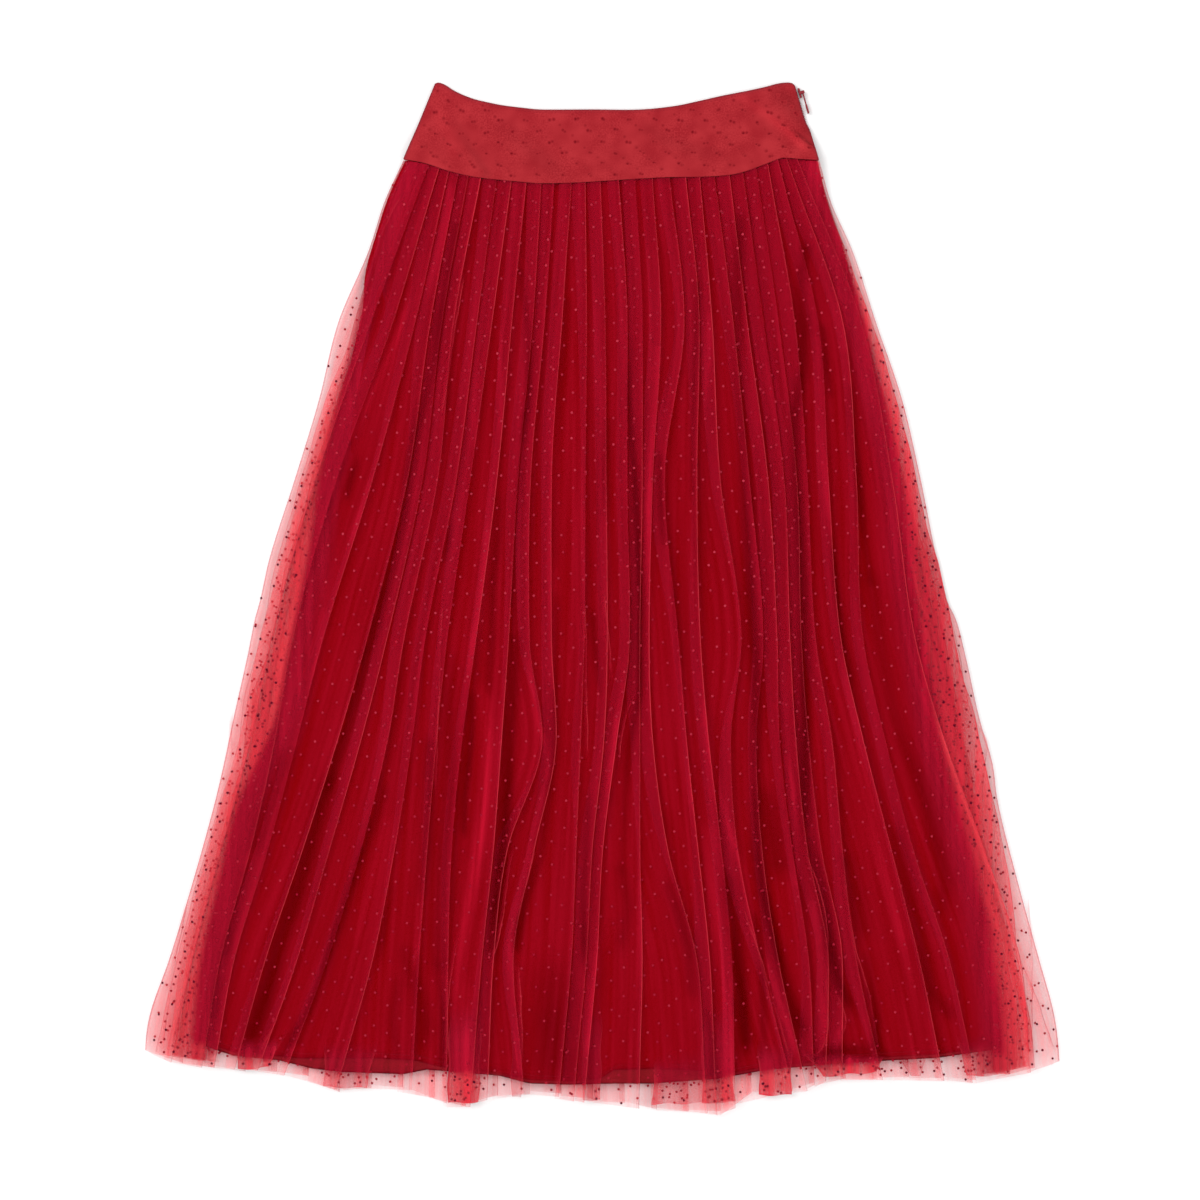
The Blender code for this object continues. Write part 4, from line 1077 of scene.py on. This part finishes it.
def yoke(name, base, lift, troughs, ridges, look, upwards):
    x, drop, down, share = yoke_grid(over_zip=upwards)
    # Painted shading of the yoke: painted shade along its creases, painted light on its ridges, which
    # also shape it
    painted_shading_and_tone = marked(troughs, x, drop) - marked(ridges, x, drop)
    z = base + YOKE_THICKNESS / 2 + lift * rising(down, YOKE_REST, 1) - YOKE_RELIEF * painted_shading_and_tone
    z = z + YOKE_WAVE * np.sin(x / 23 + 1.3) * np.sin(drop / 17) * upwards
    from_rim = np.minimum(down * YOKE_DEPTH, np.minimum(share, 1 - share) * YOKE_WIDTH)
    values = {"painted_shading_and_tone": painted_shading_and_tone, "rim": 1 - ease(from_rim / RIM_WIDTH)}
    obj = sheet_of(name, x, drop, z, values, look, upwards)
    thicken(obj, YOKE_THICKNESS)
    rounding = obj.modifiers.new("rounded edges", "BEVEL")
    rounding.width = YOKE_ROUNDING * MM
    rounding.segments = 3
    rounding.limit_method = "ANGLE"
    return obj, (x, drop, z)


def yoke_dots(name, grid, look, outward):
    """Dots on a yoke: its outer net's, those of the layer under it beside them, and fainter ones."""
    x, drop, z = grid
    chance = np.random.default_rng(23)
    places, faint = [], []
    lift = outward * (YOKE_THICKNESS / 2 - 0.08)
    for shift_x, shift_d, palest in YOKE_DOT_LAYERS:
        for i, d in enumerate(np.arange(2, 94, YOKE_DOT_ROWS)):
            for across in np.arange(-190 + (i % 2) * DOT_PITCH / 2, 190, DOT_PITCH):
                at_x = across + shift_x + chance.uniform(-YOKE_DOT_ASIDE, YOKE_DOT_ASIDE)
                at_d = d + shift_d + YOKE_DOT_CURVE * across**2
                at_d += chance.uniform(-YOKE_DOT_ASIDE, YOKE_DOT_ASIDE)
                pale = chance.uniform(palest - YOKE_DOT_SPREAD, palest)
                away = np.hypot(x - at_x, drop - at_d)
                j = np.unravel_index(away.argmin(), x.shape)
                inside = 1 < j[0] < YOKE_ROWS - 2 and 1 < j[1] < YOKE_COLUMNS - 2
                if inside and away[j] < YOKE_DOT_NEAR:
                    places.append((at_x, at_d, z[j] + lift))
                    faint.append(pale)
    return dots(name, places, look, radius=YOKE_DOT_RADIUS, faint=np.array(faint), out=(0, 0, outward))


# ---- the concealed zip and the stitches --------------------------------------------------------


def zip_line(drop):
    """The zip's place across and height at these drops: between the yokes, then between the nets."""
    top_drop, seam_drop = YOKE_TOP[-1][1], YOKE_SEAM[-1][1]
    down = np.clip((drop - top_drop) / (seam_drop - top_drop), 0, 1)
    on_yoke = between(YOKE_TOP[-1][0], SEAM_RIGHT, down) - ZIP_ROOM
    on_net = lining_edges(drop)[1] + ZIP_OUT
    x = between(on_yoke, on_net, rising(drop, seam_drop, seam_drop + ZIP_CROSSES))
    z = between(ZIP_LOW_Z, ZIP_HIGH_Z, rising(drop / seam_drop, YOKE_REST, 1))
    return x, side_height(x, drop, z, SIDE_Z)


def zip_tape(look):
    drop = np.linspace(ZIP_START, ZIP_DROP, TAPE_ROWS)[:, None]
    x, z = zip_line(drop)
    return sheet_of("zip_tape_cloth", x + TAPE_ACROSS, drop, z + TAPE_Z, {}, look)


def zip_teeth(look):
    """The coil of the closed zip: a row of small rounded links across it."""
    drop = np.arange(ZIP_START, ZIP_DROP, ZIP_PITCH)
    x, z = zip_line(drop)
    places = placed(x + 0.45, drop, z + 0.1)
    axes = (1, ZIP_LINK_SLANT, 0), (0, 1, 0), (0, 0, 1)
    return copies("zip_teeth", bead(ZIP_LINK, around=8), places, axes, look, {})


def stitches(name, lines, look):
    """Rows of short stitches along lines of (across, drop, height) points."""
    places, along = [], []
    for line in lines:
        run = run_along(line)
        at = np.arange(STITCH_PITCH, run[-1] - STITCH_PITCH, STITCH_PITCH)
        here, ahead = (
            np.stack([np.interp(place, run, column) for column in line.T], axis=1)
            for place in (at, at + STITCH_AHEAD)
        )
        step = (ahead - here) * (1, -1, 1)
        places.append(here)
        along.append(step / np.linalg.norm(step, axis=1)[:, None])
    places, along, up = np.concatenate(places), np.concatenate(along), (0, 0, 1)
    axes = along, np.cross(up, along), up
    return copies(name, bead(STITCH, around=6), placed(*places.T), axes, look, {})


def stitch_lines(front_grid, back_grid):
    """Stitches under the yokes' top edges and along the linings' hems."""
    lines = []
    for (x, drop, z), way in ((front_grid, 1), (back_grid, -1)):
        face = z + way * (YOKE_THICKNESS / 2 + 0.02)
        lines.append(np.stack([x[1, 2:-2], drop[1, 2:-2] + RIM_STITCH, face[1, 2:-2]], axis=1))
    for hem, z in ((FRONT_LINING_HEM, FRONT_LINING_Z), (BACK_LINING_HEM, BACK_LINING_Z)):
        x = np.linspace(hem[0][0] + 3, hem[-1][0] - 4, 200)
        lines.append(np.stack([x, edge(hem, x) - HEM_STITCH, 0 * x + z + STITCH_LIFT], axis=1))
    return lines


# ---- materials ---------------------------------------------------------------------------------

# Painted shading: painted shade where a piece's value is above 0, painted light where it is below 0,
# within these bounds
TROUGH_DIMMING = 0.48  # how much of the light a full trough keeps
TONE_LEAST, TONE_MOST = -0.9, 1.2

# Lit and shaded copies of the net: on the lining it is painted in shade, alone it is painted lit through
# from the bright surface below, while its fold lines and dots there are painted dark against that light
NET_ON_LINING = (0.44, 0.0065, 0.027, 1)
NET_ALONE = (0.88, 0.055, 0.075, 1)
NET_EDGE = (0.66, 0.045, 0.06, 1)
NET_EDGE_ALONE = (0.30, 0.03, 0.05, 1)
DOT_BRIGHT = (0.46, 0.032, 0.056, 1)
DOT_FAINT = (0.30, 0.006, 0.02, 1)
DOT_ALONE = (0.10, 0.003, 0.014, 1)
LINING_OUTSIDE = (0.285, 0.0, 0.0, 1)
LINING_OUTSIDE_DARK = (0.235, 0.0, 0.0, 1)
LINING_INSIDE = (0.26, 0.013, 0.016, 1)
LINING_INSIDE_DARK = (0.20, 0.008, 0.010, 1)
HEM_EDGE = (0.03, 0.0005, 0.002, 1)
YOKE = (0.41, 0.0245, 0.0315, 1)
YOKE_DARK = (0.31, 0.0125, 0.019, 1)
YOKE_RIM = (0.16, 0.02, 0.028, 1)
YOKE_DOT = (0.14, 0.0015, 0.006, 1)
ZIP_RED = (0.28, 0.008, 0.018, 1)
FLOOR = (0.97, 0.97, 0.97, 1)

# Sizes of each cloth's unevenness, in metres: its streaks across and along, its grain and patches
NET_GRAIN = (0.005, 0.16, 0.0011, 0.045)
LINING_GRAIN = (0.022, 0.3, 0.0012, 0.06)
YOKE_GRAIN = (0.017, 0.017, 0.0013, 0.03)
NET_STREAKED, NET_GRAINED = 1.5, 0.7  # how strong the net's streaks and grain are
NET_SHADE, NET_SHADE_BY = 0.45, 0.5  # its least shade, and what they add
NET_THINNER = 0.1  # what they lack to the net's full cover
LINE_COLOUR, LINE_COVER = 0.85, 0.55  # how far a full line has its own colour, and covers more
FAINT_BEND = 0.6  # below 1 the dots turn faint soon
YOKE_DOT_BEND, YOKE_DOT_FAINTER = 0.6, 0.65
YOKE_STREAKED, YOKE_GRAINED, YOKE_EVEN = 2.2, 3.0, 2.1
YOKE_RIM_SHARE = 0.75
LINING_GRAINED = 0.4
HEM_LINE_ENDS, HEM_LINE_FADE = 1.3, 1.5


class Tree:
    """Short ways to add nodes to a material or a node group."""

    def __init__(self, tree):
        self.tree, self.nodes, self.links = tree, tree.nodes, tree.links

    def node(self, kind, **settings):
        node = self.nodes.new("ShaderNode" + kind)
        for key, value in settings.items():
            setattr(node, key, value)
        return node

    def put(self, socket, value):
        if isinstance(value, bpy.types.NodeSocket):
            self.links.new(value, socket)
        else:
            socket.default_value = value

    def fed(self, node, **inputs):
        """The first output of a node, with these inputs."""
        for key, value in inputs.items():
            self.put(node.inputs[key], value)
        return node.outputs[0]

    def math(self, operation, a, b, clamp=False):
        node = self.node("Math", operation=operation, use_clamp=clamp)
        self.put(node.inputs[0], a)
        self.put(node.inputs[1], b)
        return node.outputs[0]

    def times(self, a, b):
        return self.math("MULTIPLY", a, b)

    def plus(self, a, b, clamp=False):
        return self.math("ADD", a, b, clamp)

    def less(self, a, b, clamp=False):
        return self.math("SUBTRACT", a, b, clamp)

    def mix(self, factor, a, b, blend="MIX"):
        node = self.node("Mix", data_type="RGBA", blend_type=blend)
        self.put(node.inputs["Factor"], factor)
        self.put(node.inputs[6], a)
        self.put(node.inputs[7], b)
        return node.outputs[2]

    def noise(self, vector, size, detail):
        return self.fed(self.node("TexNoise"), Vector=vector, Scale=size, Detail=detail)

    def parts(self, vector):
        node = self.node("SeparateXYZ")
        self.put(node.inputs[0], vector)
        return node.outputs

    def attribute(self, name):
        return self.node("Attribute", attribute_name=name).outputs["Fac"]

    def group(self, tree, **inputs):
        node = self.nodes.new("ShaderNodeGroup")
        node.node_tree = tree
        return self.fed(node, **inputs)

    # A colour with the piece's painted shade in troughs and painted light on ridges
    def toned(self, colour):
        return self.group(TONED, Color=colour, Tone=self.attribute("painted_shading_and_tone"))

    def unevenness(self, across, along, size, patches):
        """The cloth's own coordinates, its streaks and its grain."""
        cloth = self.node("UVMap", uv_map="cloth").outputs[0]
        streaks = self.group(STREAKS, Vector=cloth, Across=across, Along=along)
        return cloth, streaks, self.group(GRAIN, Vector=cloth, Size=size, Patches=patches)


def new_group(name, output, kind, **inputs):
    """A node group with one output. An input's default value says its kind, None is a vector."""
    tree = bpy.data.node_groups.new(name, "ShaderNodeTree")
    for label, value in inputs.items():
        own = "Vector" if value is None else "Color" if isinstance(value, tuple) else "Float"
        socket = tree.interface.new_socket(label, in_out="INPUT", socket_type="NodeSocket" + own)
        if value is not None:
            socket.default_value = value
    tree.interface.new_socket(output, in_out="OUTPUT", socket_type="NodeSocket" + kind)
    given, out = tree.nodes.new("NodeGroupInput").outputs, tree.nodes.new("NodeGroupOutput").inputs
    return Tree(tree), given, out[0]


def make_streaks():
    """Uneven streaks along the cloth, from 0 to 1."""
    t, given, out = new_group("streaks", "Value", "Float", Vector=None, Across=0.004, Along=0.15)
    apart, together = t.parts(given["Vector"]), t.node("CombineXYZ")
    for i, size in enumerate(("Across", "Along")):
        t.put(together.inputs[i], t.math("DIVIDE", apart[i], given[size]))
    t.put(out, t.noise(together.outputs[0], 1.0, 1.5))
    return t.tree


def make_grain():
    """The fine grain of the net and cloth, strong in patches, about 0.5."""
    t, given, out = new_group("grain", "Value", "Float", Vector=None, Size=0.0012, Patches=0.05)
    fine, wide = (
        t.noise(given["Vector"], t.math("DIVIDE", 1.0, given[size]), 0.0) for size in ("Size", "Patches")
    )
    strength = t.math("MULTIPLY", t.less(wide, 0.3, clamp=True), 2.0, clamp=True)
    t.put(out, t.plus(t.times(t.less(fine, 0.5), strength), 0.5))
    return t.tree


def make_weave():
    """A plain weave: a height from 0 to 1."""
    t, given, out = new_group("weave", "Height", "Float", Vector=None, Thread=0.0006)
    waving = [
        t.math("SINE", t.times(t.math("DIVIDE", part, given["Thread"]), np.pi), 0.0)
        for part in t.parts(given["Vector"])[:2]
    ]
    t.put(out, t.plus(t.times(t.times(*waving), 0.5), 0.5))
    return t.tree


def make_toned():
    """A colour with painted shading: painted shade in troughs and beside folds, painted light on ridges;
    on the back net, uneven bands.
    """
    t, given, out = new_group("toned", "Color", "Color", Color=(1, 1, 1, 1), Tone=0.0)
    bounded = t.math("MINIMUM", t.math("MAXIMUM", given["Tone"], TONE_LEAST), TONE_MOST)
    dimmed = t.math("POWER", TROUGH_DIMMING, bounded)
    t.put(out, t.mix(1.0, given["Color"], dimmed, blend="MULTIPLY"))
    return t.tree


STREAKS, GRAIN, WEAVE, TONED = make_streaks(), make_grain(), make_weave(), make_toned()


def material(name, rough, specular=0.0):
    """A new material: its tree and its Principled shader's sockets."""
    new = bpy.data.materials.new(name)
    new.use_nodes = True
    shader = new.node_tree.nodes["Principled BSDF"].inputs
    shader["Roughness"].default_value = rough
    shader["Specular IOR Level"].default_value = specular
    return new, Tree(new.node_tree), shader


@cache
def net_material():
    new, t, shader = material("net", rough=0.9)
    _, streaks, grain = t.unevenness(*NET_GRAIN)
    alone, near = t.attribute("off_lining"), t.attribute("near_fold")
    uneven = t.plus(t.times(streaks, NET_STREAKED), t.times(grain, NET_GRAINED))
    shade = t.plus(NET_SHADE, t.times(uneven, NET_SHADE_BY))
    # Its colour goes from painted shade on the lining to painted light where it lies alone, then takes
    # the painted shading
    colour = t.toned(t.mix(1.0, t.mix(alone, NET_ON_LINING, NET_ALONE), shade, blend="MULTIPLY"))
    line = t.mix(alone, NET_EDGE, NET_EDGE_ALONE)
    t.put(shader["Base Color"], t.mix(t.times(near, LINE_COLOUR), colour, line))
    cover = t.times(t.attribute("cover"), t.less(uneven, NET_THINNER))
    t.put(shader["Alpha"], t.plus(cover, t.times(near, LINE_COVER), clamp=True))
    return new


def dot_material():
    new, t, shader = material("flocked_dot", rough=0.95)
    on_lining = t.mix(t.math("POWER", t.attribute("faint"), FAINT_BEND), DOT_BRIGHT, DOT_FAINT)
    # Dots on the lining keep their colour; alone they are painted dark, as if seen against the light
    # from below
    t.put(shader["Base Color"], t.mix(t.attribute("off_lining"), on_lining, DOT_ALONE))
    return new


def yoke_dot_material():
    """Dark in the middle, fading into the yoke's colour at the rim."""
    new, t, shader = material("yoke_dot", rough=0.95)
    fade = t.math("POWER", t.attribute("middle"), YOKE_DOT_BEND)
    strength = t.less(1.0, t.times(t.attribute("faint"), YOKE_DOT_FAINTER))
    t.put(shader["Base Color"], t.mix(t.times(fade, strength), YOKE, YOKE_DOT))
    return new


def woven(t, shader, cloth, thread, grain, strength):
    """Raises a cloth's threads and grain."""
    height = t.plus(t.group(WEAVE, Vector=cloth, Thread=thread), t.times(grain, 0.8))
    raised = t.fed(t.node("Bump"), Strength=strength, Distance=0.0003, Height=height)
    t.put(shader["Normal"], raised)


def lining_material(name, colour, dark, hem_line):
    new, t, shader = material(name, rough=0.8)
    cloth, streaks, grain = t.unevenness(*LINING_GRAIN)
    base = t.toned(t.mix(t.times(grain, LINING_GRAINED), t.mix(streaks, dark, colour), dark))
    to_hem = t.math("DIVIDE", t.attribute("to_hem"), HEM_LINE_FADE)
    hem = t.less(HEM_LINE_ENDS, to_hem, clamp=True)
    t.put(shader["Base Color"], t.mix(t.times(hem, hem_line), base, HEM_EDGE))
    woven(t, shader, cloth, 0.0007, grain, 0.15)
    return new


def yoke_material():
    new, t, shader = material("yoke_cloth", rough=0.9, specular=0.05)
    cloth, streaks, grain = t.unevenness(*YOKE_GRAIN)
    uneven = t.plus(t.times(streaks, YOKE_STREAKED), t.times(grain, YOKE_GRAINED))
    base = t.toned(t.mix(t.less(uneven, YOKE_EVEN, clamp=True), YOKE_DARK, YOKE))
    t.put(shader["Base Color"], t.mix(t.times(t.attribute("rim"), YOKE_RIM_SHARE), base, YOKE_RIM))
    woven(t, shader, cloth, 0.0009, grain, 0.25)
    return new


def plain_material(name, colour, rough, specular=0.2):
    new, t, shader = material(name, rough, specular)
    place = t.node("TexCoord").outputs["Object"]
    grain = t.group(GRAIN, Vector=place, Size=0.0015, Patches=0.01)
    dark = tuple(c * 0.7 for c in colour[:3]) + (1,)
    t.put(shader["Base Color"], t.mix(grain, dark, colour))
    return new


# ---- the studio --------------------------------------------------------------------------------

LENS = 90.0
CAMERA_RISE = 10  # height of the skirt's face, at which the picture's width is taken
KEY = ((-1.9, 1.2, 2.2), 1.8, 40)  # place, size and power
FILL = ((1.9, -0.6, 2.2), 2.2, 14)
WORLD_STRENGTH = 0.85


def camera():
    data = bpy.data.cameras.new("camera")
    data.lens = LENS
    data.clip_end = 20
    obj = bpy.data.objects.new("camera", data)
    bpy.context.scene.collection.objects.link(obj)
    height = VIEW_WIDTH / data.sensor_width * data.lens
    obj.location = placed(*VIEW_CENTRE, height + CAMERA_RISE)
    bpy.context.scene.camera = obj


def area_light(name, place, size, power):
    """A square light that looks at the middle of the skirt."""
    data = bpy.data.lights.new(name, "AREA")
    data.shape = "SQUARE"
    data.size = size
    data.energy = power
    obj = bpy.data.objects.new(name, data)
    bpy.context.scene.collection.objects.link(obj)
    obj.location = place
    obj.rotation_euler = (-Vector(place)).to_track_quat("-Z", "Y").to_euler()


def studio():
    bm = bmesh.new()
    bmesh.ops.create_grid(bm, x_segments=1, y_segments=1, size=6)
    bmesh.ops.translate(bm, vec=(0, 0, -FLOOR_GAP * MM), verts=bm.verts)
    floor = shown("floor", bm)
    new, _, shader = material("floor", rough=0.9)
    shader["Base Color"].default_value = FLOOR
    floor.data.materials.append(new)
    area_light("key", *KEY)
    area_light("fill", *FILL)
    world = bpy.data.worlds.new("studio")
    bpy.context.scene.world = world
    world.use_nodes = True
    back = world.node_tree.nodes["Background"].inputs
    back["Color"].default_value = (1, 1, 1, 1)
    back["Strength"].default_value = WORLD_STRENGTH
    bpy.context.scene.view_settings.view_transform = "Standard"
    bpy.context.scene.cycles.transparent_max_bounces = 20
    bpy.context.scene.cycles.diffuse_bounces = 2


# ---- the skirt ---------------------------------------------------------------------------------


def ride(piece, replaced=None):
    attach(piece, "skirt")
    if replaced:
        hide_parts(replaced)
    return piece


def build():
    camera()
    studio()
    dot = dot_material()

    net, z, front = front_net()
    ride(front, "front_overlay")
    front_dots = ride(dots_of("front_net_dots", net, z, dot, 1))
    folds = [crease(i, points, net, z) for i, points in enumerate(CREASES)]
    creases = ride(joined("front_net_creases", folds))
    back_cloth, back_z, back = back_net()
    ride(back, "back_overlay")
    back_dots = ride(dots_of("back_net_dots", back_cloth, back_z, dot, -1))

    hem = ride(joined("hem_plies", [hem_ply(i, ply) for i, ply in enumerate(HEM_PLIES)]))
    hem_spots = ride(hem_dots(dot))
    for name, *shape in SIDE_PLIES:
        x, drop, ply_z, ply = side_ply(name, *shape)
        ride(ply)
        ply_spots = ride(ply_dots(name + "_dots", x, drop, ply_z, dot))

    outside = lining_material("lining_outside", LINING_OUTSIDE, LINING_OUTSIDE_DARK, hem_line=0.3)
    inside = lining_material("lining_inside", LINING_INSIDE, LINING_INSIDE_DARK, hem_line=1.0)
    front_lining = lining("front_lining_cloth", FRONT_LINING_HEM, FRONT_LINING_Z, outside, True)
    back_lining = lining("back_lining_cloth", BACK_LINING_HEM, BACK_LINING_Z, inside, False)
    ride(front_lining, "front_lining")
    ride(back_lining, "back_lining")

    cloth, spot = yoke_material(), yoke_dot_material()
    front_yoke, front_grid = yoke(
        "front_yoke_cloth", FRONT_YOKE_Z, FRONT_YOKE_LIFT, YOKE_MARKS, YOKE_RIDGES, cloth, True
    )
    back_yoke, back_grid = yoke("back_yoke_cloth", 0.0, BACK_YOKE_LIFT, [], [], cloth, False)
    ride(front_yoke, "front_yoke")
    ride(back_yoke, "back_yoke")
    front_spots = ride(yoke_dots("front_yoke_dots", front_grid, spot, 1))
    back_spots = ride(yoke_dots("back_yoke_dots", back_grid, spot, -1))

    tape_look = plain_material("zip_tape", ZIP_RED, 0.8, specular=0.05)
    metal_look = plain_material("zip_metal", ZIP_RED, 0.4, specular=0.4)
    tape = ride(zip_tape(tape_look), "zip_chain")
    ride(zip_teeth(tape_look))
    thread = plain_material("thread", ZIP_RED, 0.8)
    ride(stitches("stitches", stitch_lines(front_grid, back_grid), thread))
    for node in ("zip_slider", "zip_pull"):
        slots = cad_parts[node].data.materials
        slots.clear()
        slots.append(metal_look)


build()
